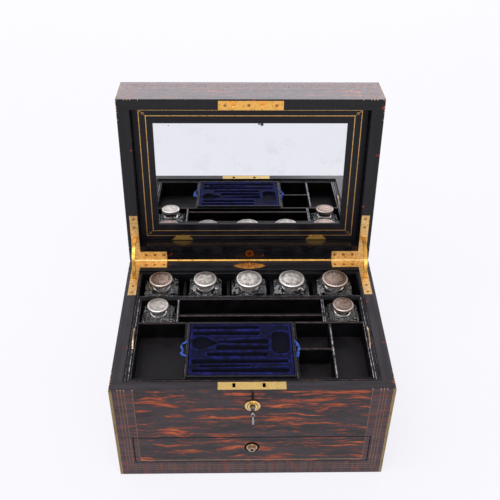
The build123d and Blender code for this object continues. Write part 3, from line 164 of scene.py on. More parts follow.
# ----------------------------------------------------------------------------
# Finishes
# ----------------------------------------------------------------------------
class Pattern:
    """The pattern of one material, built a step at a time from sockets and plain values."""

    def __init__(self, material: bpy.types.Material) -> None:
        """Start on a fresh material."""
        material.use_nodes = True
        self.tree = material.node_tree
        self.shader = self.tree.nodes["Principled BSDF"]

    def add(self, kind: str, inputs: Optional[dict] = None, **settings: Any) -> bpy.types.Node:
        """Add one node to this material."""
        return add(self.tree, kind, inputs, **settings)

    def math(self, operation: str, *values: Any) -> Any:
        """Work out one number."""
        return self.add("Math", dict(enumerate(values)), operation=operation).outputs[0]

    def vector(self, operation: str, *values: Any, **scale: Any) -> Any:
        """Work out one vector, or the number that a length, distance or dot product gives."""
        node = self.add("VectorMath", {**dict(enumerate(values)), **scale}, operation=operation)
        return node.outputs["Value" if operation in ("LENGTH", "DISTANCE", "DOT_PRODUCT") else 0]

    def axes(self, vector: Any) -> Any:
        """Take a vector apart."""
        return self.add("SeparateXYZ", {0: vector}).outputs

    def turned(self, vector: Any, angle: float, centre: Point = (0.0, 0.0, 0.0)) -> Any:
        """Turn a vector about the X axis."""
        return self.add(
            "VectorRotate", {"Vector": vector, "Angle": angle, "Center": centre}, rotation_type="X_AXIS"
        ).outputs[0]

    def noise(self, spot: Any, size: float, detail: float = 2.0, **more: float) -> Any:
        """Noise with flecks of a size in millimetres."""
        return self.add("TexNoise", {0: spot, "Scale": 1 / size, "Detail": detail, **more}).outputs["Fac"]

    def cells(self, spot: Any, size: float, randomness: float = 1.0) -> Any:
        """Distance from the middles of cells of a size in millimetres."""
        inputs = {0: spot, "Scale": 1 / size, "Randomness": randomness}
        return self.add("TexVoronoi", inputs).outputs["Distance"]

    def waves(self, spot: Any, spacing: float, rate: float, inputs: dict, **how: str) -> Any:
        """Lines of a wave texture.

        Args:
            spot: Place in millimetres.
            spacing: How far apart the lines are drawn, in millimetres, before they are distorted.
            rate: Radians that the texture goes through in a step of 1 / Scale: WAVE_RATE along an
                axis, and that over the root of 2 for diagonal lines on a level face.
            inputs: Other inputs of the texture, by name.
            how: The texture's own attributes.

        Returns:
            Socket of the lines' strength.
        """
        inputs = {0: spot, "Scale": math.tau / (rate * spacing), **inputs}
        return self.add("TexWave", inputs, **how).outputs["Fac"]

    def grain(
        self, spot: Any, along: int, long: float, short: float, shift: float = 0.0, **more: float
    ) -> Any:
        """Noise drawn out along one axis.

        Args:
            spot: Place in millimetres.
            along: Axis of the grain: 0, 1 or 2.
            long: Size of a fleck along the grain, in millimetres.
            short: Size across the grain, in millimetres.
            shift: How far the noise is moved, so that two patterns differ.
            more: Other settings of the noise.

        Returns:
            Socket of the noise.
        """
        sizes = [1 / short] * 3
        sizes[along] = 1 / long
        spread = self.add("Mapping", {"Vector": spot, "Scale": tuple(sizes), "Location": (shift,) * 3})
        return self.noise(spread.outputs[0], 1.0, **more)

    def remap(
        self, value: Any, start: float, end: float, low: float = 0.0, high: float = 1.0, **how: str
    ) -> Any:
        """Stretch a range of values onto another."""
        return self.add("MapRange", {0: value, 1: start, 2: end, 3: low, 4: high}, **how).outputs[0]

    def ramp(self, value: Any, *stops: tuple[float, str]) -> Any:
        """Colour from two stops, each a position and a hex colour."""
        node = self.add("ValToRGB", {0: value})
        for element, (position, code) in zip(node.color_ramp.elements, stops):
            element.position = position
            element.color = linear(code)
        return node.outputs[0]

    def over(self, share: Any, under: Any, top: Any) -> Any:
        """Lay a hex colour or a colour socket over another by a share."""
        top = linear(top) if isinstance(top, str) else top
        return self.add("Mix", {0: share, 6: under, 7: top}, data_type="RGBA").outputs[2]

    def lay(self, under: Any, code: str, value: Any, start: float, full: float, most: float) -> Any:
        """Lay a colour over another where a pattern is strong.

        Args:
            under: Colour socket underneath.
            code: Colour laid on top.
            value: Pattern's socket.
            start: Pattern value where the colour begins.
            full: Pattern value where it is strongest.
            most: Its strongest share.

        Returns:
            Colour socket.
        """
        share = self.remap(value, start, full, 0.0, most, interpolation_type="SMOOTHSTEP")
        return self.over(share, under, code)

    def place(self, setting: Setting = Setting.BASE) -> tuple[Any, Any]:
        """Lay the pattern out on the shut box.

        Args:
            setting: Half of the box the surface belongs to.

        Returns:
            Sockets for the place in millimetres and for the surface's own normal.
        """
        here = self.add("TexCoord").outputs
        spot, facing = here["Object"], here["Normal"]
        if setting is Setting.LID:
            spot = self.turned(spot, LID_SWING, (0.0, Y_HINGE * MM, Z_HINGE * MM))
            facing = self.turned(facing, LID_SWING)
        return self.vector("SCALE", spot, Scale=1 / MM), facing

    def own(self) -> Any:
        """Place within the object's own box, from 0 to 1 along each axis."""
        return self.add("TexCoord").outputs["Generated"]

    def feed(self, name: str, socket: Any) -> None:
        """Link a socket to the shader."""
        self.tree.links.new(socket, self.shader.inputs[name])

    def fix(self, **values: Any) -> None:
        """Set shader inputs that are the same all over; _ in a name stands for a space."""
        for name, value in values.items():
            self.shader.inputs[name.replace("_", " ")].default_value = value

    def bump(self, height: Any, strength: float, distance: float = 0.0002) -> None:
        """Raise the surface by a pattern, with its depth in metres."""
        inputs = {"Height": height, "Strength": strength, "Distance": distance}
        self.feed("Normal", self.add("Bump", inputs).outputs[0])


@dataclass(frozen=True)
class Finish:
    """What a surface is made of and how it was worked."""

    name: str = "finish"
    roughness: float = 0.5
    ior: float = 1.5
    metallic: float = 0.0

    def material(self) -> bpy.types.Material:
        """Make the material, or return it if it is made already."""
        made = bpy.data.materials.get(self.name)
        if made:
            return made
        made = bpy.data.materials.new(self.name)
        pattern = Pattern(made)
        pattern.fix(Roughness=self.roughness, Metallic=self.metallic)
        if not self.metallic:
            pattern.fix(IOR=self.ior)
        self.paint(pattern)
        return made

    def paint(self, p: Pattern) -> None:
        """Lay the pattern, to be filled in by each finish."""
        raise NotImplementedError


@dataclass(frozen=True)
class Veneer(Finish):
    """Figured rosewood veneer, French polished.

    The eye gets a slate ground with long wavy orange flames and thin red dashes
    along the grain, crossbanding with sparse red patches, and a dark polished rim.
    """

    name: str = "rosewood_veneer"
    roughness: float = 0.2
    setting: Setting = Setting.BASE
    panel: Panel = Panel.FRONT
    ground: str = "#231e22"
    ground_pale: str = "#3d3439"
    streak: str = "#50302a"
    flame: str = "#b04a1c"
    flame_core: str = "#d8743a"
    dash: str = "#9c3a2a"
    pore: str = "#151216"
    band_ground: str = "#372b2f"
    band_pale: str = "#594146"
    band_patch: str = "#8c3426"
    rim: str = "#29252a"
    rim_pale: str = "#383338"
    rim_fleck: str = "#3c2826"
    inside: str = "#0f0c0e"
    inside_pale: str = "#1a1517"
    side_band: float = 25.2
    end_band: float = 22.6
    wave: float = 13.0
    vivid: float = 1.0
    skin: float = 0.6
    rim_slope: float = 0.8

    def waved(self, p: Pattern, spot: Any, along: int, across: int) -> Any:
        """Bend the grain into slow waves."""
        slow = p.grain(spot, along, 34.0, 26.0, shift=3.0, detail=1.0)
        lift = [0.0, 0.0, 0.0]
        lift[across] = self.wave
        push = p.vector("SCALE", tuple(lift), Scale=p.math("SUBTRACT", slow, 0.5))
        return p.vector("ADD", spot, push)

    def figured(self, p: Pattern, spot: Any, along: int, across: int) -> Any:
        """The figured ground with its flames and dashes.

        Args:
            p: Pattern of the material.
            spot: Place in millimetres.
            along: Axis of the grain.
            across: Axis across the grain, in the face.

        Returns:
            Colour socket.
        """
        bent = self.waved(p, spot, along, across)
        slow = p.grain(bent, along, 70.0, 9.0, detail=3.0)
        colour = p.ramp(slow, (0.36, self.ground), (0.64, self.ground_pale))
        # Flames are 20 to 60 mm by 2 to 5 mm; pores are drawn 0.6 mm apart so that they show.
        fibre = p.grain(bent, along, 9.0, 0.9, shift=11.0, detail=3.0, Roughness=0.6)
        figure = p.grain(bent, along, 34.0, 3.2, shift=41.0, detail=3.0, Roughness=0.6)
        rows = p.grain(bent, along, 80.0, 8.5, shift=47.0, detail=1.0)
        broken = p.math("MULTIPLY_ADD", fibre, 0.5, figure)
        broken = p.math("MULTIPLY_ADD", rows, 0.9, broken)
        colour = p.lay(colour, self.streak, broken, 1.14, 1.36, 0.9)
        thin = p.grain(bent, along, 14.0, 1.2, shift=17.0)
        colour = p.lay(colour, self.dash, thin, 0.60, 0.71, 0.65 * self.vivid)
        colour = p.lay(colour, self.flame, broken, 1.27, 1.39, 0.95 * self.vivid)
        colour = p.lay(colour, self.flame_core, broken, 1.38, 1.54, 0.95 * self.vivid)
        pores = p.grain(bent, along, 14.0, 0.6, shift=77.0)
        return p.lay(colour, self.pore, pores, 0.54, 0.70, 0.7)

    def crossbanded(self, p: Pattern, spot: Any, along: int) -> Any:
        """Plain dark wood with sparse red patches, its grain across the band."""
        slow = p.grain(spot, along, 40.0, 3.5, shift=23.0, detail=3.0)
        colour = p.ramp(slow, (0.36, self.band_ground), (0.66, self.band_pale))
        fibre = p.grain(spot, along, 9.0, 0.8, shift=9.0)
        patch = p.grain(spot, along, 26.0, 4.4, shift=61.0, detail=1.5)
        both = p.math("MULTIPLY_ADD", fibre, 0.35, patch)
        return p.lay(colour, self.band_patch, both, 0.75, 0.88, 0.62)

    def polished_rim(self, p: Pattern, spot: Any, slow: Any, along: int) -> Any:
        """Dark rim with brown flecks and a few red spots."""
        edge = p.ramp(slow, (0.4, self.rim), (0.64, self.rim_pale))
        edge = p.lay(edge, self.rim_fleck, p.grain(spot, along, 7.0, 1.8, shift=5.0), 0.6, 0.72, 0.7)
        return p.lay(edge, self.dash, p.noise(spot, 13.0, 3.0), 0.66, 0.74, 0.8)

    def paint(self, p: Pattern) -> None:
        """Lay panel, crossbanding, rim and the black inside."""
        spot, facing = p.place(self.setting)
        across, up = self.panel.value
        axes = p.axes(spot)
        half = (X_OUT, Y_OUT)
        side = p.math("SUBTRACT", half[across], p.math("ABSOLUTE", axes[across]))
        end = axes[up]
        if self.panel is Panel.TOP:
            end = p.math("SUBTRACT", Y_OUT, p.math("ABSOLUTE", end))
        elif self.setting is Setting.LID:
            end = p.math("SUBTRACT", Z_LID_TOP, end)
        in_side = p.math("LESS_THAN", side, self.side_band)
        mitre = p.math("LESS_THAN", end, side)
        in_end = p.math("MULTIPLY", p.math("LESS_THAN", end, self.end_band), mitre)
        colour = self.figured(p, spot, across, up)
        for share, along in ((in_side, across), (in_end, up)):
            colour = p.over(share, colour, self.crossbanded(p, spot, along))
        slow = p.grain(spot, across, 50.0, 6.0, shift=15.0)
        if self.panel is not Panel.TOP:
            # The faces that the lining and the lid's hollow show are painted near black.
            out = 1 - across
            sunk = p.math("LESS_THAN", p.math("ABSOLUTE", axes[out]), half[out] - self.skin)
            colour = p.over(sunk, colour, p.ramp(slow, (0.4, self.inside), (0.66, self.inside_pale)))
        level = p.math("MULTIPLY", p.axes(facing)[2], HALVES[self.setting][2][2])
        on_rim = p.math("GREATER_THAN", level, self.rim_slope)
        p.feed("Base Color", p.over(on_rim, colour, self.polished_rim(p, spot, slow, across)))
        p.fix(Specular_IOR_Level=0.32)
        pores = p.grain(spot, across, 12.0, 0.6, shift=31.0)
        p.feed("Roughness", p.remap(pores, 0.3, 0.7, self.roughness - 0.05, self.roughness + 0.1))
        p.bump(pores, 0.06)


@dataclass(frozen=True)
class CarcassWood(Finish):
    """Plain planed wood, oiled and left to darken: straight grain, low gloss."""

    name: str = "planed_mahogany"
    roughness: float = 0.55
    dark: str = "#4a2a1c"
    pale: str = "#7d4d33"
    growth: float = 3.0

    def paint(self, p: Pattern) -> None:
        """Lay straight grain and open pores."""
        spot, _ = p.place()
        rings = p.grain(spot, 0, 45.0, self.growth, detail=4.0, Distortion=0.4)
        p.feed("Base Color", p.ramp(rings, (0.32, self.dark), (0.68, self.pale)))
        # Pores are about 0.2 mm wide and are drawn 0.7 mm wide so that they show.
        p.bump(p.grain(spot, 0, 9.0, 0.7), 0.25, 0.0003)


@dataclass(frozen=True)
class Leather(Finish):
    """Thin skiver leather glued over wood: faint pebble grain, and pale edges, partly worn and partly painted
    highlight.
    """

    name: str = "black_skiver_leather"
    roughness: float = 0.42
    face: str = "#09080b"
    faded: str = "#131216"
    rubbed_and_highlight: str = "#8f8d92"
    wear_highlight_share: float = 0.55
    edge: float = 0.45
    grain: float = 0.7
    patch: float = 16.0
    gloss: float = 0.3

    def paint(self, p: Pattern) -> None:
        """Lay the grain, the fading and the pale edges, partly worn and partly painted highlight."""
        spot, _ = p.place()
        patch = p.noise(spot, self.patch, 3.0)
        colour = p.ramp(patch, (0.4, self.face), (0.68, self.faded))
        # Edges are painted pale, partly as worn leather and partly as painted highlight.
        flat = p.add("NewGeometry").outputs["Normal"]
        soft = p.add("Bevel", {"Radius": self.edge * MM}, samples=6).outputs[0]
        edge_wear_highlight_mask = p.remap(p.vector("DOT_PRODUCT", flat, soft), 0.995, 0.86)
        edge_share_break = p.remap(p.noise(spot, 3.5, 3.0), 0.4, 0.62, 0.25, 1.0)
        share = p.math("MULTIPLY", p.math("MULTIPLY", edge_wear_highlight_mask, edge_share_break), self.wear_highlight_share)
        p.feed("Base Color", p.over(share, colour, self.rubbed_and_highlight))
        p.fix(Specular_IOR_Level=self.gloss)
        p.feed("Roughness", p.remap(patch, 0.4, 0.7, self.roughness - 0.06, self.roughness + 0.12))
        # The pebble grain is about 0.4 mm and is drawn at 0.7 or 0.8 mm so that it shows.
        p.bump(p.cells(spot, self.grain), 0.18)


@dataclass(frozen=True)
class Metal(Finish):
    """Worked metal: a bright colour, a stain in patches, and fine scratches."""

    name: str = "polished_brass"
    roughness: float = 0.2
    metallic: float = 1.0
    bright: str = "#e2b45a"
    stain: str = "#b07a30"
    stain_size: float = 9.0
    stain_from: float = 0.5
    scratch: float = 0.08
    brushed_along: int = 0
    engraved: float = 0.0
    engraving_dirt: str = "#743c14"
    rings: Optional[tuple[float, float]] = None
    groove: str = "#4a3018"
    painted_shade_below: Optional[float] = None
    painted_shade: str = "#0a0806"

    def scrolls(self, p: Pattern, spot: Any, colour: Any, height: Any) -> tuple[Any, Any]:
        """Engrave scrolls, with dirt in the lines.

        Args:
            p: Pattern of the material.
            spot: Place in millimetres.
            colour: Colour so far.
            height: Height so far.

        Returns:
            Sockets of the new colour and height.
        """
        swirl = {"Distortion": 5.0, "Detail": 1.0, "Detail Scale": 0.8}
        shape = {"wave_type": "RINGS", "rings_direction": "SPHERICAL"}
        lines = p.waves(spot, self.engraved, WAVE_RATE, swirl, **shape)
        dirt = p.remap(lines, 0.3, 0.06, 0.0, 0.8)
        return p.over(dirt, colour, self.engraving_dirt), p.math("MULTIPLY_ADD", height, 0.3, lines)

    def turned_rings(self, p: Pattern, spot: Any, colour: Any) -> Any:
        """Darken turned grooves on the front; self.rings holds their middle's height and their spacing."""
        z, spacing = self.rings
        flat = p.vector("MULTIPLY", spot, (1.0, 0.0, 1.0))
        away = p.vector("DISTANCE", flat, (0.0, 0.0, z))
        groove = p.math("COSINE", p.math("MULTIPLY", away, math.tau / spacing))
        return p.over(p.remap(groove, -0.2, 0.9, 0.0, 0.8), colour, self.groove)

    def paint(self, p: Pattern) -> None:
        """Lay the metal's colour, stains, scratches and engraving."""
        spot, _ = p.place()
        patch = p.noise(spot, self.stain_size, 4.0, Roughness=0.6)
        colour = p.ramp(patch, (self.stain_from, self.bright), (0.75, self.stain))
        # Scratches are under 0.1 mm wide and are drawn 0.6 mm wide so that they show.
        height = p.grain(spot, self.brushed_along, 8.4, 0.6)
        if self.engraved:
            colour, height = self.scrolls(p, spot, colour, height)
        # Below a given height the brass is painted near black, as shade inside the lock case.
        if self.painted_shade_below is not None:
            share = p.remap(p.axes(spot)[2], self.painted_shade_below, self.painted_shade_below - 0.5, 0.0, 0.97)
            colour = p.over(share, colour, self.painted_shade)
        if self.rings:
            colour = self.turned_rings(p, spot, colour)
        p.feed("Base Color", colour)
        p.feed("Roughness", p.remap(patch, 0.35, 0.75, self.roughness - 0.06, self.roughness + 0.14))
        p.bump(height, 0.5 if self.engraved else self.scratch)


@dataclass(frozen=True)
class EngravedSilver(Finish):
    """Silver lids, hand rubbed: grey, with a worked border round a hatched middle and a painted highlight on
    the turned-over rim.
    """

    name: str = "engraved_silver"
    roughness: float = 0.34
    metallic: float = 1.0
    bright: str = "#d8d1c9"
    stain: str = "#9c948b"
    cut: str = "#4c453f"
    painted_rim_highlight: str = "#f2ece6"
    mottle: float = 5.0
    petals: float = 22.0
    soft: float = 0.05
    hatch: float = 1.02354

    def paint(self, p: Pattern) -> None:
        """Lay the border, the hatching, the tarnish and the painted highlight on the rim."""
        spot, _ = p.place()
        patch = p.noise(spot, self.mottle, 4.0)
        colour = p.ramp(patch, (0.42, self.bright), (0.66, self.stain))
        # From -1 to 1 across the lid, with its middle at 0.
        centred = p.vector("MULTIPLY_ADD", p.own(), (2.0, 2.0, 0.0), (-1.0, -1.0, 0.0))
        out = p.vector("LENGTH", centred)
        axes = p.axes(centred)
        petal = p.math("SINE", p.math("MULTIPLY", p.math("ARCTAN2", axes[1], axes[0]), self.petals))
        ring = p.remap(out, 0.60, 0.60 + self.soft)
        rim = p.remap(out, 0.86, 0.86 + self.soft, 1.0, 0.0)
        band = p.math("MULTIPLY", p.math("MULTIPLY", ring, rim), p.remap(petal, -1.0, 1.0, 0.25, 0.75))
        # Hatching is cut 0.3 mm apart and is drawn 1 mm apart so that it shows.
        swirl = {"Distortion": 2.5, "Detail": 1.0}
        diagonal = WAVE_RATE / math.sqrt(2)
        hatch = p.waves(spot, self.hatch, diagonal, swirl, bands_direction="DIAGONAL")
        cut = p.math("MAXIMUM", band, p.remap(hatch, 0.45, 0.1, 0.0, 0.4))
        colour = p.over(cut, colour, self.cut)
        # The outer rim is painted bright: a painted highlight.
        p.feed("Base Color", p.over(p.remap(out, 0.89, 0.94, 0.0, 0.8), colour, self.painted_rim_highlight))
        p.feed("Roughness", p.remap(patch, 0.3, 0.8, self.roughness - 0.05, self.roughness + 0.16))
        p.bump(cut, 0.5)


@dataclass(frozen=True)
class Velvet(Finish):
    """Silk velvet pile: deep blue that lightens where it turns away from the eye."""

    name: str = "blue_silk_velvet"
    roughness: float = 0.8
    pile: str = "#06071a"
    crushed: str = "#0d1038"
    # Ridge colour, partly worn pile and partly painted highlight; the colour below it is painted shade for
    # the pockets.
    rubbed_and_highlight: str = "#23287a"
    deep: str = "#03030c"
    plateau: float = 142.55
    ridge: float = 143.2

    def paint(self, p: Pattern) -> None:
        """Lay crushed patches, painted shade in the pockets, ridges lighter as worn pile and painted
        highlight, and the short pile.
        """
        spot, _ = p.place()
        patch = p.noise(spot, 6.0, 4.0)
        colour = p.ramp(patch, (0.38, self.pile), (0.66, self.crushed))
        level = p.axes(spot)[2]
        # Ridges are painted lighter, partly as worn pile and partly as painted highlight.
        lift = p.remap(level, self.plateau + 0.12, self.ridge, 0.0, 0.8)
        lift = p.math("MULTIPLY", lift, p.remap(patch, 0.38, 0.62, 0.12, 1.0))
        # Pockets are painted darker the lower they go: painted shade.
        sunk = p.remap(level, self.plateau - 0.2, self.plateau - 1.8, 0.0, 0.8)
        p.feed("Base Color", p.over(sunk, p.over(lift, colour, self.rubbed_and_highlight), self.deep))
        p.fix(Sheen_Weight=0.35, Sheen_Roughness=0.35, Sheen_Tint=linear("#3a40a8"), Specular_IOR_Level=0.15)
        # Pile tufts are about 0.2 mm and are drawn at 0.6 mm so that they show.
        p.bump(p.noise(spot, 0.6), 0.35, 0.0003)


@dataclass(frozen=True)
class Ribbon(Finish):
    """Grosgrain silk ribbon: bright, with fine ribs across it."""

    name: str = "blue_silk_ribbon"
    roughness: float = 0.42
    silk: str = "#2066e0"
    shade: str = "#0e2c74"
    ribs: float = 1.5791

    def paint(self, p: Pattern) -> None:
        """Lay the ribs of the weave."""
        spot, _ = p.place()
        # Ribs are 0.4 mm apart and are drawn 1.6 mm apart so that they show.
        ribs = p.waves(spot, self.ribs, WAVE_RATE, {"Distortion": 0.6}, bands_direction="Y")
        p.feed("Base Color", p.ramp(ribs, (0.2, self.shade), (0.7, self.silk)))
        p.fix(Sheen_Weight=0.2)
        p.bump(ribs, 0.3)


@dataclass(frozen=True)
class MirrorGlass(Finish):
    """Old silvered plate glass: a clear reflection, fine foxing and a few black spots."""

    name: str = "silvered_plate_glass"
    roughness: float = 0.012
    metallic: float = 1.0
    silver: str = "#eceef1"
    foxing: str = "#dcdde0"
    pinhole: str = "#77777a"
    black: str = "#141215"
    lean: float = 0.8
    ragged: float = 1.6
    spots: tuple[Point, ...] = ((13.6, -73.0, 2.0), (10.2, -73.6, 1.2), (-96.0, -71.5, 0.7))

    def paint(self, p: Pattern) -> None:
        """Lay foxing and spots, each an X, a Y and a radius with the lid shut."""
        spot, _ = p.place(Setting.LID)
        cloud = p.noise(spot, 30.0, 6.0, Roughness=0.65)
        colour = p.ramp(cloud, (0.55, self.silver), (0.85, self.foxing))
        # Pinholes in the silver are about 0.3 mm and are drawn 0.7 mm wide so that they show.
        colour = p.over(p.remap(p.cells(spot, 7.0), 0.075, 0.03, 0.0, 0.5), colour, self.pinhole)
        torn = p.add("TexNoise", {0: spot, "Scale": 1 / 1.4, "Detail": 2.0}).outputs["Color"]
        bent = p.vector("MULTIPLY_ADD", torn, (self.ragged, self.ragged, 0.0), spot)
        flat = p.vector("MULTIPLY", bent, (1.0, 1.0, 0.0))
        for x, y, radius in self.spots:
            away = p.vector("DISTANCE", flat, (x + self.ragged / 2, y + self.ragged / 2, 0.0))
            colour = p.over(p.remap(away, radius * 1.15, radius * 0.75, 0.0, 0.95), colour, self.black)
        p.feed("Base Color", colour)
        p.feed("Roughness", p.remap(cloud, 0.6, 0.9, self.roughness, 0.03))
        # The plate is flat and square to its frame. Only its shading normal leans, so that the reflection
        # stands a little higher, as it would in a plate that lies out of true. Other viewers do not show it.
        square = p.add("NewGeometry").outputs["Normal"]
        p.feed("Normal", p.turned(square, math.radians(self.lean)))


@dataclass(frozen=True)
class CutGlass(Finish):
    """Lead crystal, cut and polished: clear, strongly refracting, with facets that sparkle."""

    name: str = "cut_lead_crystal"
    roughness: float = 0.02
    ior: float = 1.56
    facet: float = 7.0
    hobnail: float = 2.6
    depth: float = 0.0026
    shoulder: float = 0.7

    def paint(self, p: Pattern) -> None:
        """Cut broad flats into the shoulder and hobnails into the body below it."""
        spot, _ = p.place()
        p.fix(Transmission_Weight=1.0, Base_Color=linear("#fbfcfd"))
        broad = p.math("MINIMUM", p.cells(spot, self.facet, 0.6), 0.45)
        low = p.remap(p.axes(p.own())[2], self.shoulder + 0.02, self.shoulder - 0.04)
        choice = {0: low, 2: broad, 3: p.cells(spot, self.hobnail, 0.25)}
        p.feed("Roughness", p.remap(p.noise(spot, 5.0), 0.4, 0.8, self.roughness, 0.07))
        p.bump(p.add("Mix", choice, data_type="FLOAT").outputs[0], 0.9, self.depth)


@dataclass(frozen=True)
class Backdrop(Finish):
    """Matt seamless paper: a cool near-white with no gloss, so that only soft shadows show on it."""

    name: str = "matt_studio_paper"
    roughness: float = 0.9
    paper: str = "#d2d1d8"
    lifted: str = "#dddce3"
    shaded: float = 0.8

    def paint(self, p: Pattern) -> None:
        """Show the paper near white to the eye and in gloss, keeping a part of its shadows."""
        spot = p.add("TexCoord").outputs["Object"]
        fibre = p.add("TexNoise", {0: spot, "Scale": 900.0, "Detail": 2.0}).outputs["Fac"]
        p.feed("Base Color", p.ramp(fibre, (0.3, self.paper), (0.7, self.lifted)))
        p.fix(Specular_IOR_Level=0.0)
        pale = p.add("BsdfDiffuse", {"Color": linear("#f6f5fb")}).outputs[0]
        # Painted light: the glow grows stronger towards the back of the paper.
        strength = p.remap(p.axes(spot)[1], -0.6, 1.6, 0.80, 0.88)
        glow = p.add("Emission", {"Color": linear("#fbfaff"), "Strength": strength}).outputs[0]
        dim = p.add("MixShader", {0: self.shaded, 1: pale}).outputs[0]
        both = p.add("AddShader", {0: dim, 1: glow}).outputs[0]
        mix = p.add("MixShader", {0: met_directly(p.tree), 1: p.shader.outputs[0], 2: both}).outputs[0]
        p.tree.links.new(mix, p.tree.nodes["Material Output"].inputs["Surface"])


# Brass: warm gold where hands polish it, brown in patches where old lacquer and dirt stay.
# Engraved lines are about 0.6 mm apart; they are drawn 0.7 mm apart on the hinge leaves so
# that they show, and 0.5 mm apart on the small pin plate.
POLISHED_BRASS = Metal(name="polished_brass", bright="#d0a052", stain="#99692c", roughness=0.22)
LOCK_BRASS = Metal(
    name="filed_brass", bright="#e8c67c", stain="#c8a058", roughness=0.3, scratch=0.2, stain_size=6.0
)
STRIKE_BRASS = replace(LOCK_BRASS, name="lacquered_brass", bright="#f4ba62", stain="#c88c42", stain_size=3.0)
# The box lock's brass, painted near black below its rim as shade inside the case.
BOX_LOCK_BRASS = replace(LOCK_BRASS, name="filed_brass_painted_shade_inside", painted_shade_below=143.6)
ENGRAVED_BRASS = Metal(
    name="engraved_brass",
    bright="#ffe09c",
    stain="#dc9c54",
    roughness=0.36,
    engraved=0.72257,
    stain_size=3.0,
    stain_from=0.42,
)
PIN_BRASS = Metal(
    name="lacquered_pin_brass",
    bright="#d8964a",
    stain="#8a5424",
    roughness=0.3,
    engraved=0.50265,
    stain_size=2.5,
)
COPPER_BRASS = Metal(name="tarnished_copper_brass", bright="#9a5a30", stain="#5f3018", roughness=0.35)
PULL_BRASS = Metal(name="tarnished_brass", bright="#e0b260", stain="#9a703a", roughness=0.4, stain_size=4.0)
TAB_BRASS = Metal(name="hand_worn_brass", bright="#a4917a", stain="#62523e", roughness=0.26, stain_size=3.0)
SCREW_BRASS = Metal(name="screw_head_brass", bright="#c08a50", stain="#7c4a24", roughness=0.3, stain_size=2.0)
TURNED_BRASS = Metal(
    name="turned_brass", bright="#f2d698", stain="#b08a50", roughness=0.2, stain_size=2.0, rings=(120.0, 2.9)
)
NOZZLE_METAL = Metal(
    name="worn_nickel_brass",
    bright="#ccb49c",
    stain="#7a6450",
    roughness=0.26,
    stain_size=2.0,
    rings=(48.5, 2.2),
)

# Inlaid brass: dull copper-brown lines, bright only where dusters and lids rub them.
STRING_BRASS = Metal(
    name="dull_brass_inlay", bright="#8a6852", stain="#553f34", roughness=0.42, stain_size=4.0
)
BRIGHT_STRING = Metal(
    name="rubbed_brass_inlay", bright="#b89a80", stain="#8a6c58", roughness=0.4, stain_size=6.0
)
STRING_ENDS = Metal(name="bare_brass_ends", bright="#dcae84", stain="#a87a58", roughness=0.3, stain_size=2.0)
STRIP_BRASS = Metal(
    name="drawn_brass_angle", bright="#94805a", stain="#5f4e34", roughness=0.4, brushed_along=2
)
DULL_STRIP_BRASS = replace(
    STRIP_BRASS, name="dull_brass_angle", bright="#857668", stain="#544a40", roughness=0.45, stain_size=12.0
)
GILT = Metal(name="gold_leaf_tooling", bright="#dcae6a", stain="#a07444", roughness=0.38, stain_size=4.0)

# Steel: cold greys, bright on the handled key and dark in the locks.
STEEL = Metal(name="bright_steel", bright="#9b9a9c", stain="#6a686a", roughness=0.24, stain_size=5.0)
GREY_STEEL = Metal(name="forged_steel", bright="#6f6e70", stain="#3f3d3e", roughness=0.42, stain_size=7.0)

# Silver: pale grey with dark engraving, browner where tarnish has taken it.
SILVER = EngravedSilver()
MOUNT_SILVER = Metal(name="spun_silver", bright="#f4efea", stain="#c8beb4", roughness=0.22, stain_size=2.5)
GREYED_SILVER = replace(SILVER, name="greyed_engraved_silver", bright="#bdb6af", stain="#827a72", mottle=3.4)
# A brighter copy of the silver for the small left lid: painted light.
PAINTED_LIGHT_SILVER = replace(
    SILVER, name="engraved_silver_painted_light", bright="#efe8e2", stain="#c2b8ae", cut="#8a8078"
)
TARNISHED_SILVER = EngravedSilver(
    name="tarnished_engraved_silver",
    bright="#c8b2a4",
    stain="#836b5e",
    cut="#4c3c34",
    painted_rim_highlight="#dccabe",
    mottle=2.4,
)

# Leather: near black with a low sheen, grey or brown on its edges, partly worn and partly painted highlight.
# Flat black, used as painted shade where slots and gaps would be dark.
SHADOW = Leather(name="painted_shade_black", face="#060506", faded="#0a090a", wear_highlight_share=0.0, roughness=0.8)
LINING_LEATHER = Leather()
TRAY_LEATHER = Leather(name="dulled_skiver_leather", face="#080709", faded="#100f12", gloss=0.14)
FLOOR_LEATHER = Leather(
    name="scuffed_floor_leather", face="#0b080b", faded="#181215", wear_highlight_share=0.3, roughness=0.5
)
FRAME_LEATHER = Leather(
    name="aubergine_goat_leather", face="#0c0b12", faded="#15121b", wear_highlight_share=0.35, roughness=0.38, grain=0.8
)
# Edge strips in three brightnesses, partly worn leather and partly painted highlight.
EDGE_PALE_WEAR_HIGHLIGHT = Leather(
    name="leather_edge_pale_wear_highlight", face="#3c383f", faded="#c9c4cc", wear_highlight_share=0.0, roughness=0.3, patch=5.0
)
EDGE_DIM_WEAR_HIGHLIGHT = Leather(
    name="leather_edge_dim_wear_highlight", face="#1c1a1e", faded="#77727a", wear_highlight_share=0.0, roughness=0.35, patch=6.0
)
EDGE_BROWN_WEAR_HIGHLIGHT = Leather(
    name="leather_edge_brown_wear_highlight", face="#2a1d1c", faded="#775450", wear_highlight_share=0.0, roughness=0.4, patch=7.0
)

# Plain wood: brown and matt, greyer where it is pine.
CARCASS = CarcassWood()
PINE = CarcassWood(name="stained_pine", dark="#3a2a20", pale="#5d4433", growth=5.0)


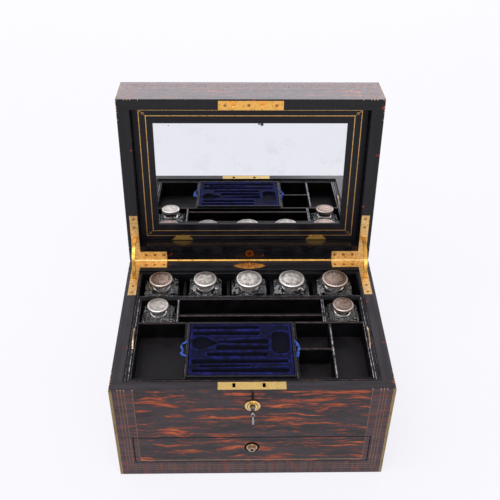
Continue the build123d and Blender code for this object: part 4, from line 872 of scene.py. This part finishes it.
# ----------------------------------------------------------------------------
# Mesh helpers
# ----------------------------------------------------------------------------
def new_piece(name: str, mesh: bmesh.types.BMesh, finish: Finish, body: str) -> bpy.types.Object:
    """Put a mesh in the scene as a piece that rides on a body.

    Args:
        name: Name of the piece.
        mesh: Its mesh, in metres; it is freed.
        finish: What it is made of.
        body: Body of the frame that carries it.

    Returns:
        The new object.
    """
    bmesh.ops.recalc_face_normals(mesh, faces=mesh.faces)
    piece = show(name, mesh, finish)
    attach(piece, body)
    LOG.info("%s: %d faces on %s", name, len(piece.data.polygons), body)
    return piece


def show(name: str, mesh: bmesh.types.BMesh, finish: Finish) -> bpy.types.Object:
    """Make an object from a mesh and link it to the scene.

    Args:
        name: Name of the object.
        mesh: Its mesh, in metres; it is freed.
        finish: What it is made of.

    Returns:
        The new object.
    """
    data = bpy.data.meshes.new(name)
    mesh.to_mesh(data)
    mesh.free()
    data.materials.append(finish.material())
    made = bpy.data.objects.new(name, data)
    bpy.context.scene.collection.objects.link(made)
    return made


def dress(finish: Finish, *nodes: str) -> None:
    """Give CAD nodes a finish.

    Args:
        finish: What they are made of.
        nodes: Names of the nodes.
    """
    for name in nodes:
        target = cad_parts[name]
        if not target.material_slots:
            target.data.materials.append(finish.material())
        for place in target.material_slots:
            place.material = finish.material()
        LOG.info("%s: %s", name, finish.name)


def join_rings(mesh: bmesh.types.BMesh, rings: list[list], closed: bool) -> None:
    """Skin a row of rings with faces.

    Args:
        mesh: Mesh that holds the rings and takes the faces.
        rings: Rings of vertices, as many in each.
        closed: Whether the last ring joins the first; if not, both ends are capped.
    """
    follow = rings[1:] + rings[:1] if closed else rings[1:]
    for first, second in zip(rings, follow):
        for k, corner in enumerate(first):
            after = (k + 1) % len(first)
            mesh.faces.new((corner, first[after], second[after], second[k]))
    if not closed:
        mesh.faces.new(rings[0])
        mesh.faces.new(list(reversed(rings[-1])))


def inlay(
    mesh: bmesh.types.BMesh,
    points: Sequence[Point],
    facing: Point,
    width: float,
    proud: float,
    placing: Placing = as_is,
    closed: bool = False,
) -> None:
    """Lay a flat mitred strip along a line on a flat face.

    Args:
        mesh: Mesh that takes the strip.
        points: Corners of the line, in millimetres.
        facing: Unit normal of the face.
        width: Width of the strip, in millimetres.
        proud: How far its top stands off the face, in millimetres.
        placing: Where a point of the shut box goes.
        closed: Whether the line closes on itself.
    """
    normal = Vector(facing)
    spots = [Vector(p) for p in points]
    rows = []
    for i, spot in enumerate(spots):
        before = [spot - spots[i - 1]] if (i or closed) else []
        after = [spots[(i + 1) % len(spots)] - spot] if (i < len(spots) - 1 or closed) else []
        sides = [normal.cross(run.normalized()) for run in before + after]
        side = sum(sides, Vector()) / len(sides)
        side = side / max(side.length_squared, 0.2)
        ring = []
        for offset, height in ((-0.5, -SUNK), (-0.5, proud), (0.5, proud), (0.5, -SUNK)):
            corner = spot + side * (offset * width) + normal * height
            ring.append(mesh.verts.new(Vector(placing(corner)) * MM))
        rows.append(ring)
    join_rings(mesh, rows, closed)


def strips(
    lines: Sequence[Sequence[Point]], facing: Point, width: float, proud: float, **how: Any
) -> bmesh.types.BMesh:
    """Lay one strip along each of several lines.

    Args:
        lines: The lines, each as its corners in millimetres.
        facing: Unit normal of the face that they lie on.
        width: Width of the strips, in millimetres.
        proud: How far their tops stand off the face, in millimetres.
        how: What else inlay takes.

    Returns:
        A new mesh with the strips.
    """
    mesh = bmesh.new()
    for line in lines:
        inlay(mesh, line, facing, width, proud, **how)
    return mesh


# ----------------------------------------------------------------------------
# Carcass and its brass stringing
# ----------------------------------------------------------------------------
@dataclass
class Stringing:
    """Brass lines let into the veneer of the base, the drawer and the lid."""

    triple: tuple[float, ...] = (9.4, 12.8, 16.3)
    single: float = 25.2
    rail_triple: tuple[float, ...] = (9.0, 12.5, 16.3)
    rail_single: float = 25.5
    width: float = 0.7
    proud: float = 0.04
    end: float = 1.1
    end_flare: float = 1.6
    drawer_top: float = 65.0
    drawer_gap: float = 66.1
    foot_proud: float = 0.06
    # The painted shadow round the drawer: its half width, its foot, its width, and how far its top stands
    # above the drawer gap line.
    shadow_half: float = 133.4
    shadow_low: float = 22.1
    shadow_width: float = 0.7
    shadow_over: float = 0.1

    def u_line(
        self, side: float, reach: float, low: float, top: float, panel: Panel, sign: float
    ) -> list[Point]:
        """A line down one side of a face, along its far edge and up the other side.

        Args:
            side: Distance of the upright runs from the edges of the face.
            reach: Half width of the face.
            low: Height of the run along the far edge.
            top: Height where the upright runs end.
            panel: Face that takes the line.
            sign: -1 for the front or left face, 1 for the right face.

        Returns:
            The line's corners.
        """
        half = reach - side
        flat = [(-half, top), (-half, low), (half, low), (half, top)]
        if panel is Panel.FRONT:
            return [(a, sign * Y_OUT, h) for a, h in flat]
        return [(sign * X_OUT, a, h) for a, h in flat]

    def half(self, setting: Setting) -> bmesh.types.BMesh:
        """Lines on the front and sides of one half of the box, and on the lid's top.

        Args:
            setting: Base or lid.

        Returns:
            The strips.
        """
        mesh = bmesh.new()
        base = setting is Setting.BASE
        placing, rim, _ = HALVES[setting]
        rows = list(zip((*self.triple, self.single), (*self.rail_triple, self.rail_single)))
        front, left, right = (Panel.FRONT, -1.0, X_OUT), (Panel.SIDE, -1.0, Y_OUT), (Panel.SIDE, 1.0, Y_OUT)
        for panel, sign, reach in (front, left, right):
            facing = (0.0, sign, 0.0) if panel is Panel.FRONT else (sign, 0.0, 0.0)
            for side, low in rows:
                line = self.u_line(side, reach, low if base else Z_LID_TOP - low, rim, panel, sign)
                runs = [line]
                if base and panel is Panel.FRONT and side == self.single:
                    runs = [[line[k], (line[k][0], line[k][1], self.drawer_gap)] for k in (0, 3)]
                for run in runs:
                    inlay(mesh, run, facing, self.width, self.proud, placing)
        if not base:
            for side in (*self.triple, self.single):
                x, y = X_OUT - side, Y_OUT - side
                ring = [(a, b, Z_LID_TOP) for a, b in ((-x, -y), (x, -y), (x, y), (-x, y))]
                inlay(mesh, ring, UPWARD, self.width, self.proud, placing, closed=True)
        return mesh

    def drawer(self) -> bmesh.types.BMesh:
        """The single line on the drawer front."""
        line = self.u_line(self.single, X_OUT, self.rail_single, self.drawer_top, Panel.FRONT, -1.0)
        return strips([line], FRONTWARD, self.width, self.proud)

    def drawer_foot(self) -> bmesh.types.BMesh:
        """The part of that line that dusters have kept bright."""
        half = X_OUT - self.single - self.width
        run = [(-half, -Y_OUT, self.rail_single), (half, -Y_OUT, self.rail_single)]
        return strips([run], FRONTWARD, self.width, self.foot_proud)

    def ends(self, setting: Setting) -> bmesh.types.BMesh:
        """Bare ends of the upright lines, where they turn over the rim.

        Args:
            setting: Base or lid.

        Returns:
            The short strips.
        """
        placing, rim, facing = HALVES[setting]
        runs = []
        for side in (*self.triple, self.single):
            for sign in (-1.0, 1.0):
                x, y = sign * (X_OUT - side), sign * (Y_OUT - side)
                runs.append([(x, -Y_OUT, rim), (x, -Y_OUT + self.end, rim)])
                for x_face in (-X_OUT, X_OUT):
                    inward = x_face - math.copysign(self.end, x_face)
                    runs.append([(x_face, y, rim), (inward, y, rim)])
        return strips(runs, facing, self.width * self.end_flare, self.proud, placing=placing)

    def drawer_gap_shadow(self) -> bmesh.types.BMesh:
        """A black strip round the drawer: painted shadow of the gap round it."""
        half, low, top = self.shadow_half, self.shadow_low, self.drawer_gap + self.shadow_over
        ring = [(x, -Y_OUT, z) for x, z in ((-half, low), (half, low), (half, top), (-half, top))]
        return strips([ring], FRONTWARD, self.shadow_width, FILM, closed=True)

    def build(self) -> None:
        """Make the three sets of lines, their ends and the painted shadow round the drawer."""
        for name, mesh, finish, body in (
            ("stringing_base", self.half(Setting.BASE), STRING_BRASS, "base"),
            ("stringing_lid", self.half(Setting.LID), STRING_BRASS, "lid"),
            ("stringing_drawer", self.drawer(), STRING_BRASS, "drawer"),
            ("stringing_drawer_foot", self.drawer_foot(), BRIGHT_STRING, "drawer"),
            ("stringing_ends_base", self.ends(Setting.BASE), STRING_ENDS, "base"),
            ("stringing_ends_lid", self.ends(Setting.LID), STRING_ENDS, "lid"),
        ):
            new_piece(name, mesh, finish, body)
        # A black strip of painted shadow in the gap round the drawer.
        new_piece("drawer_gap_painted_shadow", self.drawer_gap_shadow(), SHADOW, "base")


@dataclass
class Carcass:
    """Boards of the base and the lid, and all that is plain wood."""

    stringing: Stringing = field(default_factory=Stringing)

    def build(self) -> None:
        """Veneer the boards and lay the stringing."""
        base, lid_top = Veneer(), Veneer(setting=Setting.LID)
        # The lid's walls are a darker, duller copy of the base's veneer, as painted shade: a blacker rim, and
        # flames at under half strength.
        lid = replace(lid_top, rim="#0b0a0d", rim_pale="#131116", rim_fleck="#2c1c1a", vivid=0.45)
        for where, panel, veneer, nodes in (
            ("base_front", Panel.FRONT, base, ("base_front", "base_back", "drawer_front")),
            ("base_side", Panel.SIDE, base, ("base_sides",)),
            ("lid_front", Panel.FRONT, lid, ("lid_front_wall", "lid_back_wall")),
            ("lid_side", Panel.SIDE, lid, ("lid_side_walls",)),
            ("lid_top", Panel.TOP, lid_top, ("lid_top",)),
        ):
            dress(replace(veneer, name=f"rosewood_veneer_{where}", panel=panel), *nodes)
        dress(CARCASS, "drawer_box", "drawer_bottom", "drawer_divider", "drawer_runners")
        dress(PINE, "base_bottom")
        self.stringing.build()


# ----------------------------------------------------------------------------
# Brass and steel
# ----------------------------------------------------------------------------
@dataclass
class ScrewSlots:
    """Black strips across the heads of the countersunk screws: painted shade where their filed slots are."""

    length: float = 3.1
    width: float = 0.5
    leaf_side: float = 143.5
    leaf_side_rows: tuple[float, ...] = (45.5, 57.5)
    leaf_back: tuple[float, ...] = (108.73, 119.97, 131.2)
    leaf_back_row: float = 98.13
    strike: tuple[float, ...] = (-29.2, -2.3, 29.2)
    strike_row: float = -104.05

    def places(self, setting: Setting) -> list[tuple[float, float]]:
        """Middles of the screw heads on one rim.

        Args:
            setting: Base, or lid, which has the strike plate's screws too.

        Returns:
            X and Y of each head.
        """
        right = [(self.leaf_side, y) for y in self.leaf_side_rows]
        right += [(x, self.leaf_back_row) for x in self.leaf_back]
        both = right + [(-x, y) for x, y in right]
        return both + ([(x, self.strike_row) for x in self.strike] if setting is Setting.LID else [])

    def build(self) -> None:
        """Lay a black strip of painted shade across every head of both rims, where its slot is."""
        turn = random.Random(7)
        for setting, (placing, height, facing) in HALVES.items():
            lines = []
            for x, y in self.places(setting):
                angle = turn.uniform(0, math.pi)
                dx, dy = math.cos(angle) * self.length / 2, math.sin(angle) * self.length / 2
                lines.append([(x - dx, y - dy, height), (x + dx, y + dy, height)])
            # Each slot is a black strip of painted shade.
            mesh = strips(lines, facing, self.width, FILM, placing=placing)
            new_piece(f"screw_slot_shade_{setting.value}", mesh, SHADOW, setting.value)


@dataclass
class Metalwork:
    """Hinges, locks, plates, key and corner strips."""

    slots: ScrewSlots = field(default_factory=ScrewSlots)
    slot_width: float = 2.7
    slot_low: float = 129.4
    slot_top: float = 140.8

    def build(self) -> None:
        """Dress the metal nodes, lay painted shade in the screw slots and darken the slot above the upper
        escutcheon.
        """
        for finish, *nodes in (
            (STRIP_BRASS, "base_corner_strips"),
            (DULL_STRIP_BRASS, "lid_corner_strips"),
            (ENGRAVED_BRASS, "base_hinge_leaves", "lid_hinge_leaves"),
            (PIN_BRASS, "pin_plate"),
            (POLISHED_BRASS, "quadrant_arms", "hinge_bead"),
            (TURNED_BRASS, "upper_escutcheon"),
            (SCREW_BRASS, "hinge_fasteners", "lid_screws"),
            (BOX_LOCK_BRASS, "box_lock"),
            (STRIKE_BRASS, "strike_plate"),
            (COPPER_BRASS, "peg_socket"),
            (PULL_BRASS, "mirror_pulls"),
            (NOZZLE_METAL, "lower_escutcheon"),
            (STEEL, "key", "drawer_bolt"),
            (GREY_STEEL, "lock_bolt", "drawer_lock"),
        ):
            dress(finish, *nodes)
        self.slots.build()
        run = [(0.0, -Y_OUT, self.slot_low), (0.0, -Y_OUT, self.slot_top)]
        new_piece("key_slot", strips([run], FRONTWARD, self.slot_width, FILM), SHADOW, "base")


# ----------------------------------------------------------------------------
# Interior: lining, tray and jars
# ----------------------------------------------------------------------------
@dataclass
class EdgeStripsWearHighlight:
    """Pale strips on the leather's edges: partly where hands and tools have worn the black away, partly
    painted highlight, brightest on edges that run front to back.
    """

    top: float = 141.0
    proud: float = 0.12
    half: float = 134.5
    front: float = -95.5
    end: float = 38.5
    row: float = -5.4
    trough: float = 6.6

    def runs(self) -> dict[str, list[tuple[float, float, float, float, float]]]:
        """Strips as x0, y0, x1, y1 and width, by how bright they are painted and what they are on."""
        front, end, row, half = self.front, self.end, self.row, self.half
        below, above = row - 1.5, row + 1.5
        return {
            "bright": [
                (-half + 0.7, front + 0.6, -half + 0.7, end, 0.9),
                (half - 3.2, front + 3.0, half - 3.2, row, 0.8),
                (half - 0.6, front + 0.6, half - 0.6, end, 0.8),
                (91.8, front + 3.6, 91.8, below, 1.3),
                (-86.4, above, -86.4, end - 3.6, 0.8),
                (85.4, above, 85.4, end - 3.6, 0.8),
                (87.5, above, 87.5, end - 3.6, 0.8),
            ],
            "dim": [
                (-73.4, front + 3.6, -73.4, below, 0.7),
                (49.4, front + 3.6, 49.4, below, 0.7),
                (-half + 3.4, front + 3.0, -half + 3.4, end, 0.5),
            ],
            "brown": [
                (-half, front + 0.5, half, front + 0.5, 0.7),
                (-half + 3.6, row, -75.9, row, 1.0),
                (51.7, row, half - 3.6, row, 1.0),
                (51.7, -48.4, 90.3, -48.4, 0.9),
                (-84.9, self.trough, 84.9, self.trough, 1.1),
                (-84.9, end - 2.6, 84.9, end - 2.6, 0.6),
            ],
            "lining": [
                (-137.3, -97.9, -137.3, 84.0, 0.7),
                (137.6, -97.9, 137.6, 84.0, 0.7),
                (-137.3, -98.3, 137.3, -98.3, 0.7),
                (-133.0, 41.0, 133.0, 41.0, 0.6),
            ],
        }

    def build(self) -> None:
        """Lay every strip on the edge that it marks."""
        finishes = {"bright": EDGE_PALE_WEAR_HIGHLIGHT, "dim": EDGE_DIM_WEAR_HIGHLIGHT, "brown": EDGE_BROWN_WEAR_HIGHLIGHT, "lining": EDGE_DIM_WEAR_HIGHLIGHT}
        for name, runs in self.runs().items():
            mesh = bmesh.new()
            for x0, y0, x1, y1, width in runs:
                inlay(mesh, [(x0, y0, self.top), (x1, y1, self.top)], UPWARD, width, self.proud)
            body = "base" if name == "lining" else "tray"
            new_piece(f"edge_strips_wear_highlight_{name}", mesh, finishes[name], body)


@dataclass
class Interior:
    """Leather lining, jar rack and the lift-out tray."""

    rubbed_and_highlight: EdgeStripsWearHighlight = field(default_factory=EdgeStripsWearHighlight)

    def build(self) -> None:
        """Dress the lined nodes and lay the edge strips, partly worn and partly painted highlight."""
        dress(LINING_LEATHER, "base_lining", "lid_lining", "hinge_rail", "manicure_board")
        dress(TRAY_LEATHER, "jar_rack", "tray_walls", "tray_partitions")
        dress(TAB_BRASS, "tray_tabs")
        dress(FLOOR_LEATHER, "tray_bottom")
        self.rubbed_and_highlight.build()


@dataclass
class NeckMount:
    """Thin spun silver mount that hugs the neck of a jar below its lid."""

    neck_share: float = 0.64
    below_skirt: float = 7.6
    height: float = 6.4
    steps: int = 48
    profile: tuple[tuple[float, float], ...] = ((0.1, 0.05), (1.9, 0.0), (1.9, 0.35), (1.1, 0.8), (0.7, 2.0))

    def around(self, lid: bpy.types.Object) -> bmesh.types.BMesh:
        """Turn the mount of the jar that a lid closes.

        Args:
            lid: The lid, which gives the middle, the neck's radius and the height.

        Returns:
            The mount.
        """
        corners = [lid.matrix_world @ Vector(corner) for corner in lid.bound_box]
        low = [min(c[k] for c in corners) / MM for k in range(3)]
        high = [max(c[k] for c in corners) / MM for k in range(3)]
        x, y = (low[0] + high[0]) / 2, (low[1] + high[1]) / 2
        neck = self.neck_share * (high[0] - low[0]) / 2
        foot = low[2] - self.below_skirt
        mesh = bmesh.new()
        rings = []
        for i in range(self.steps):
            angle = math.tau * i / self.steps
            ring = []
            for out, up in (*self.profile, (0.7, self.height), (0.1, self.height)):
                radius = neck + out
                spot = Vector((x + radius * math.cos(angle), y + radius * math.sin(angle), foot + up))
                ring.append(mesh.verts.new(spot * MM))
            rings.append(ring)
        join_rings(mesh, rings, closed=True)
        return mesh


@dataclass
class Jars:
    """Cut-glass jars, their silver lids and neck mounts."""

    lids: dict[str, Finish] = field(
        default_factory=lambda: {
            "small_left": PAINTED_LIGHT_SILVER,
            "small_right": TARNISHED_SILVER,
            "tall_1": TARNISHED_SILVER,
            "tall_2": GREYED_SILVER,
            "tall_5": TARNISHED_SILVER,
        }
    )
    mount: NeckMount = field(default_factory=NeckMount)

    def build(self) -> None:
        """Dress glass and silver and mount the necks."""
        tall = CutGlass()
        small = CutGlass(name="hobnail_lead_crystal", hobnail=3.8, shoulder=1.1, depth=0.0032)
        for lid in sorted(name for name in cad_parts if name.startswith("jar_lid_")):
            place = lid.removeprefix("jar_lid_")
            dress(self.lids.get(place, SILVER), lid)
            mesh = self.mount.around(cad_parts[lid])
            new_piece(f"neck_mount_{place}", mesh, MOUNT_SILVER, f"jar_{place}")
            dress(tall if place.startswith("tall") else small, f"jar_{place}")


# ----------------------------------------------------------------------------
# Manicure board: velvet pad and ribbons
# ----------------------------------------------------------------------------
@dataclass
class VelvetPad:
    """Padded velvet with a rolled edge round each tool pocket."""

    x0: float = -70.5
    x1: float = 46.3
    y0: float = -89.5
    y1: float = -9.3
    top: float = 143.3
    bottom: float = 133.7
    middle: tuple[float, float] = (-12.1, -49.4)
    depth: float = 4.6
    roll: float = 0.75
    roll_out: float = 1.2
    roll_width: float = 1.25
    border_in: float = 2.0
    border_width: float = 1.3
    wall_width: float = 2.3
    rounded: float = 1.1
    rounded_depth: float = 1.6
    step: float = 0.75
    # Each pocket: left end, right end and height from the board's middle, widths at the left and the right.
    pockets: tuple[tuple[float, float, float, float, float], ...] = (
        (-55.0, 22.0, 34.6, 5.0, 5.0),
        (-54.0, 22.0, 25.0, 5.6, 5.6),
        (-55.0, -27.0, 9.8, 20.5, 3.0),
        (-25.0, 32.0, 11.8, 2.4, 8.4),
        (-28.0, 31.5, 2.0, 8.4, 6.4),
        (-38.0, 30.0, -8.0, 5.0, 6.2),
        (-54.5, 52.0, -18.9, 7.0, 4.4),
        (-46.0, 10.0, -25.6, 3.6, 2.6),
        (-53.5, 53.0, -32.2, 4.6, 6.6),
    )
    wide: tuple[float, float, float, float] = (45.0, 9.9, 20.4, 34.6)
    wide_corner: float = 8.0

    @staticmethod
    def from_slot(u: float, v: float, slot: tuple[float, float, float, float, float]) -> float:
        """Distance from a point to the outline of a tapered slot with round ends.

        Args:
            u: Place along the board, from its middle.
            v: Place across the board, from its middle.
            slot: Left end, right end, height, and widths at the left and right.

        Returns:
            Distance in millimetres, less than 0 inside.
        """
        left, right, row, w0, w1 = slot
        r0, r1 = w0 / 2, w1 / 2
        start, span = left + r0, (right - r1) - (left + r0)
        lean = (r0 - r1) / span
        rise = math.sqrt(max(1e-6, 1 - lean * lean))
        p, q = abs(v - row), u - start
        k = -lean * p + rise * q
        if k < 0:
            return math.hypot(p, q) - r0
        if k > rise * span:
            return math.hypot(p, q - span) - r1
        return p * rise + q * lean - r0

    def from_wide(self, u: float, v: float) -> float:
        """Distance from a point to the outline of the wide pocket, less than 0 inside."""
        mid_u, mid_v, width, depth = self.wide
        du = abs(u - mid_u) - (width / 2 - self.wide_corner)
        dv = abs(v - mid_v) - (depth / 2 - self.wide_corner)
        outside = math.hypot(max(du, 0.0), max(dv, 0.0))
        return outside + min(max(du, dv), 0.0) - self.wide_corner

    def height(self, x: float, y: float) -> float:
        """Height of the velvet at a point.

        Args:
            x: X in millimetres.
            y: Y in millimetres.

        Returns:
            Z in millimetres.
        """
        u, v = x - self.middle[0], y - self.middle[1]
        near = min([self.from_slot(u, v, slot) for slot in self.pockets] + [self.from_wide(u, v)])
        edge = min(x - self.x0, self.x1 - x, y - self.y0, self.y1 - y)
        worn = smooth_noise.noise(Vector((x * 0.11, y * 0.23, 0.0)))
        sag = min(0.0, 0.5 * smooth_noise.noise(Vector((x * 0.07, y * 0.16, 5.0))))
        roll = self.roll * (0.8 + 0.5 * worn) * math.exp(-(((near - self.roll_out) / self.roll_width) ** 2))
        border = self.roll * math.exp(-(((edge - self.border_in) / self.border_width) ** 2))
        drop = min(1.0, max(0.0, (0.45 + 0.6 * worn - near) / self.wall_width))
        drop = drop * drop * (3 - 2 * drop)
        fall = max(0.0, 1.0 - edge / self.rounded)
        level = self.top - self.roll + sag
        return level + max(roll, border) * (1 - drop) - self.depth * drop - self.rounded_depth * fall * fall

    def build(self) -> None:
        """Raise the velvet as one closed skin and stand it in for the CAD pad."""
        mesh = bmesh.new()
        nx = round((self.x1 - self.x0) / self.step)
        ny = round((self.y1 - self.y0) / self.step)
        xs = [self.x0 + (self.x1 - self.x0) * i / nx for i in range(nx + 1)]
        ys = [self.y0 + (self.y1 - self.y0) * j / ny for j in range(ny + 1)]
        rows = [[mesh.verts.new((x * MM, y * MM, self.height(x, y) * MM)) for x in xs] for y in ys]
        for lower, upper in zip(rows, rows[1:]):
            for i in range(nx):
                mesh.faces.new((lower[i], lower[i + 1], upper[i + 1], upper[i]))
        right, left = [row[-1] for row in rows[:-1]], [row[0] for row in rows[:0:-1]]
        rim = rows[0][:-1] + right + rows[-1][:0:-1] + left
        foot = [mesh.verts.new((v.co.x, v.co.y, self.bottom * MM)) for v in rim]
        for i, corner in enumerate(rim):
            after = (i + 1) % len(rim)
            mesh.faces.new((corner, foot[i], foot[after], rim[after]))
        mesh.faces.new(foot)
        for face in mesh.faces:
            face.smooth = len(face.verts) == 4
        pad = new_piece("velvet_tool_pad", mesh, Velvet(), "board")
        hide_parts("velvet_pad")


@dataclass
class Ribbons:
    """Two silk lifting ribbons at the ends of the board."""

    y: float = -49.4
    z: float = 143.0
    width: float = 4.2
    thickness: float = 0.35
    steps: int = 48
    # For each ribbon: side, X of the board's end, reach, span and number of kinks.
    shapes: tuple[tuple[str, tuple[float, ...]], ...] = (
        ("ribbon_left", (-1.0, -72.4, 6.6, 21.5, 4.0)),
        ("ribbon_right", (1.0, 48.2, 4.6, 24.0, 6.0)),
    )

    def loop(self, side: float, start: float, reach: float, span: float, turns: float) -> bmesh.types.BMesh:
        """A crumpled ribbon that leaves the board, turns and goes back in.

        Args:
            side: -1 for the left end of the board, 1 for the right.
            start: X of the board's end.
            reach: How far the loop stands out from the board.
            span: Length of the loop along the board's end.
            turns: How often the ribbon kinks on its way.

        Returns:
            The ribbon.
        """
        mesh = bmesh.new()
        up = Vector((0, 0, 1))
        path = []
        for i in range(self.steps + 1):
            angle = math.pi * i / self.steps - math.pi / 2
            kink = 1.0 + 0.22 * math.sin(turns * angle + side)
            x = start + side * reach * math.cos(angle) * kink
            y = self.y + span / 2 * math.sin(angle) * (1.0 + 0.05 * math.cos(turns * angle))
            path.append(Vector((x, y, self.z + 0.3 * math.sin(3 * angle + side))))
        rows = []
        for i, spot in enumerate(path):
            run = (path[min(i + 1, self.steps)] - path[max(i - 1, 0)]).normalized()
            twist = 0.95 * math.sin(turns * math.pi * i / self.steps + side)
            across = run.cross(up).normalized() * math.cos(twist) + up * math.sin(twist)
            out = run.cross(across).normalized()
            pinch = 0.72 + 0.28 * math.cos(2 * turns * math.pi * i / self.steps)
            ring = []
            for offset, height in ((-0.5, -0.5), (0.5, -0.5), (0.5, 0.5), (-0.5, 0.5)):
                corner = spot + across * (offset * self.width * pinch) + out * (height * self.thickness)
                ring.append(mesh.verts.new(corner * MM))
            rows.append(ring)
        join_rings(mesh, rows, closed=False)
        return mesh

    def build(self) -> None:
        """Make both ribbons and stand them in for the CAD loops."""
        for name, shape in self.shapes:
            ribbon = new_piece(name, self.loop(*shape), Ribbon(), "board")
            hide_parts("ribbon_pulls")


# ----------------------------------------------------------------------------
# Mirror panel
# ----------------------------------------------------------------------------
@dataclass
class MirrorPanel:
    """Leather frame with gilt lines, silvered glass and brass pulls."""

    face: float = 160.8
    outer: tuple[float, float, float] = (130.0, -91.6, 79.2)
    inner: tuple[float, float, float] = (122.0, -84.5, 71.8)
    line: float = 0.9
    fine_line: float = 0.45
    leaf_long: float = 2.6
    leaf_wide: float = -0.4

    def rectangle(self, half: float, y0: float, y1: float) -> list[Point]:
        """Corners of a line round the frame, lid shut."""
        return [(x, y, self.face) for x, y in ((-half, y0), (half, y0), (half, y1), (-half, y1))]

    def build(self) -> None:
        """Dress the panel and lay its gilt lines."""
        dress(FRAME_LEATHER, "mirror_frame", "mirror_back")
        dress(MirrorGlass(), "mirror_glass")
        outer, inner = self.rectangle(*self.outer), self.rectangle(*self.inner)
        mesh = bmesh.new()
        for ring in (outer, inner):
            inlay(mesh, ring, DOWNWARD, self.line, FILM, swung_open, closed=True)
        for far, near in zip(outer, inner):
            fine = [[far, near]]
            x, y = (far[0] + near[0]) / 2, (far[1] + near[1]) / 2
            sx, sy = math.copysign(1, near[0] - far[0]), math.copysign(1, near[1] - far[1])
            for dx, dy in ((self.leaf_long, self.leaf_wide), (self.leaf_wide, self.leaf_long)):
                fine.append([(x, y, self.face), (x + dx * sx, y + dy * sy, self.face)])
            for run in fine:
                inlay(mesh, run, DOWNWARD, self.fine_line, FILM, swung_open)
        new_piece("gilt_frame_lines", mesh, GILT, "mirror_panel")


# ----------------------------------------------------------------------------
# Studio
# ----------------------------------------------------------------------------
@dataclass
class Studio:
    """Pale floor, soft lamps and the camera."""

    lens: float = 55.15
    pitch: float = 0.6655
    yaw: float = 0.025
    roll: float = -0.0126
    eye: Point = (-18.5, -655.9, 759.6)
    floor_reach: float = 6.0
    # Each lamp: name, place, aim, size in metres, power in watts and linear colour.
    lamps: tuple[tuple[str, Point, Point, tuple[float, float], float, Point], ...] = (
        ("overhead_softbox", (-0.5, -0.5, 1.9), (0.0, 0.0, 0.1), (1.4, 1.4), 16.0, (1.0, 1.0, 1.0)),
        ("front_softbox", (0.8, -1.8, 1.2), (0.0, 0.0, 0.15), (1.2, 1.2), 8.0, (1.0, 1.0, 1.0)),
        ("rear_softbox", (0.0, 3.3, 1.35), (0.0, 0.1, 0.35), (2.4, 1.0), 17.0, (0.96, 0.93, 1.0)),
    )

    def camera(self) -> None:
        """Set the camera where the object is seen from in front and above."""
        level = math.cos(self.pitch)
        forward = Vector((math.sin(self.yaw) * level, math.cos(self.yaw) * level, -math.sin(self.pitch)))
        flat = Vector((math.cos(self.yaw), -math.sin(self.yaw), 0.0))
        rise = flat.cross(forward)
        right = math.cos(self.roll) * flat - math.sin(self.roll) * rise
        up = math.sin(self.roll) * flat + math.cos(self.roll) * rise
        data = bpy.data.cameras.new("camera")
        data.lens, data.sensor_width, data.clip_start, data.clip_end = self.lens, 36.0, 0.02, 50.0
        eye = bpy.data.objects.new("camera", data)
        turn = Matrix((right, up, -forward)).transposed().to_4x4()
        eye.matrix_world = Matrix.Translation(Vector(self.eye) * MM) @ turn
        bpy.context.scene.collection.objects.link(eye)
        bpy.context.scene.camera = eye

    def floor(self) -> None:
        """Lay a wide sheet of paper under the box."""
        mesh = bmesh.new()
        reach = self.floor_reach
        corners = ((-reach, -reach), (reach, -reach), (reach, reach), (-reach, reach))
        mesh.faces.new([mesh.verts.new((x, y, 0.0)) for x, y in corners])
        paper = show("studio_floor", mesh, Backdrop())
        paper.location.z = -0.0002

    def lamp(
        self, name: str, place: Point, aim: Point, size: tuple[float, float], power: float, colour: Point
    ) -> None:
        """Hang one rectangular soft lamp.

        Args:
            name: Name of the lamp.
            place: Where it hangs, in metres.
            aim: Where it points, in metres.
            size: Width and height, in metres.
            power: Output in watts.
            colour: Its tint, as linear red, green and blue.
        """
        data = bpy.data.lights.new(name, "AREA")
        data.shape, data.energy, data.color = "RECTANGLE", power, colour
        data.size, data.size_y = size
        lamp = bpy.data.objects.new(name, data)
        lamp.location = place
        lamp.rotation_euler = (Vector(aim) - Vector(place)).to_track_quat("-Z", "Y").to_euler()
        lamp.visible_camera = False
        bpy.context.scene.collection.objects.link(lamp)

    def sky(self) -> None:
        """Fill the room with even light, shown white to the eye and in gloss."""
        world = bpy.data.worlds.new("studio_room")
        world.use_nodes = True
        tree = world.node_tree
        tree.nodes.clear()
        fill = add(tree, "Background", {"Color": linear("#f4f4fa"), "Strength": 0.55}).outputs[0]
        white = add(tree, "Background", {"Color": linear("#f6f5fb"), "Strength": 1.0}).outputs[0]
        mix = add(tree, "MixShader", {0: met_directly(tree), 1: fill, 2: white}).outputs[0]
        add(tree, "OutputWorld", {0: mix})
        bpy.context.scene.world = world

    def build(self) -> None:
        """Set the stage."""
        self.camera()
        self.floor()
        self.sky()
        for lamp in self.lamps:
            self.lamp(*lamp)
        bpy.context.scene.view_settings.view_transform = "Standard"


def main() -> None:
    """Build every class in order."""
    logging.basicConfig(level=logging.INFO, format="%(message)s")
    Studio().build()
    for piece in (Carcass(), Metalwork(), Interior(), Jars(), VelvetPad(), Ribbons(), MirrorPanel()):
        piece.build()
        LOG.info("built %s", type(piece).__name__)


if __name__ == "__main__":
    main()
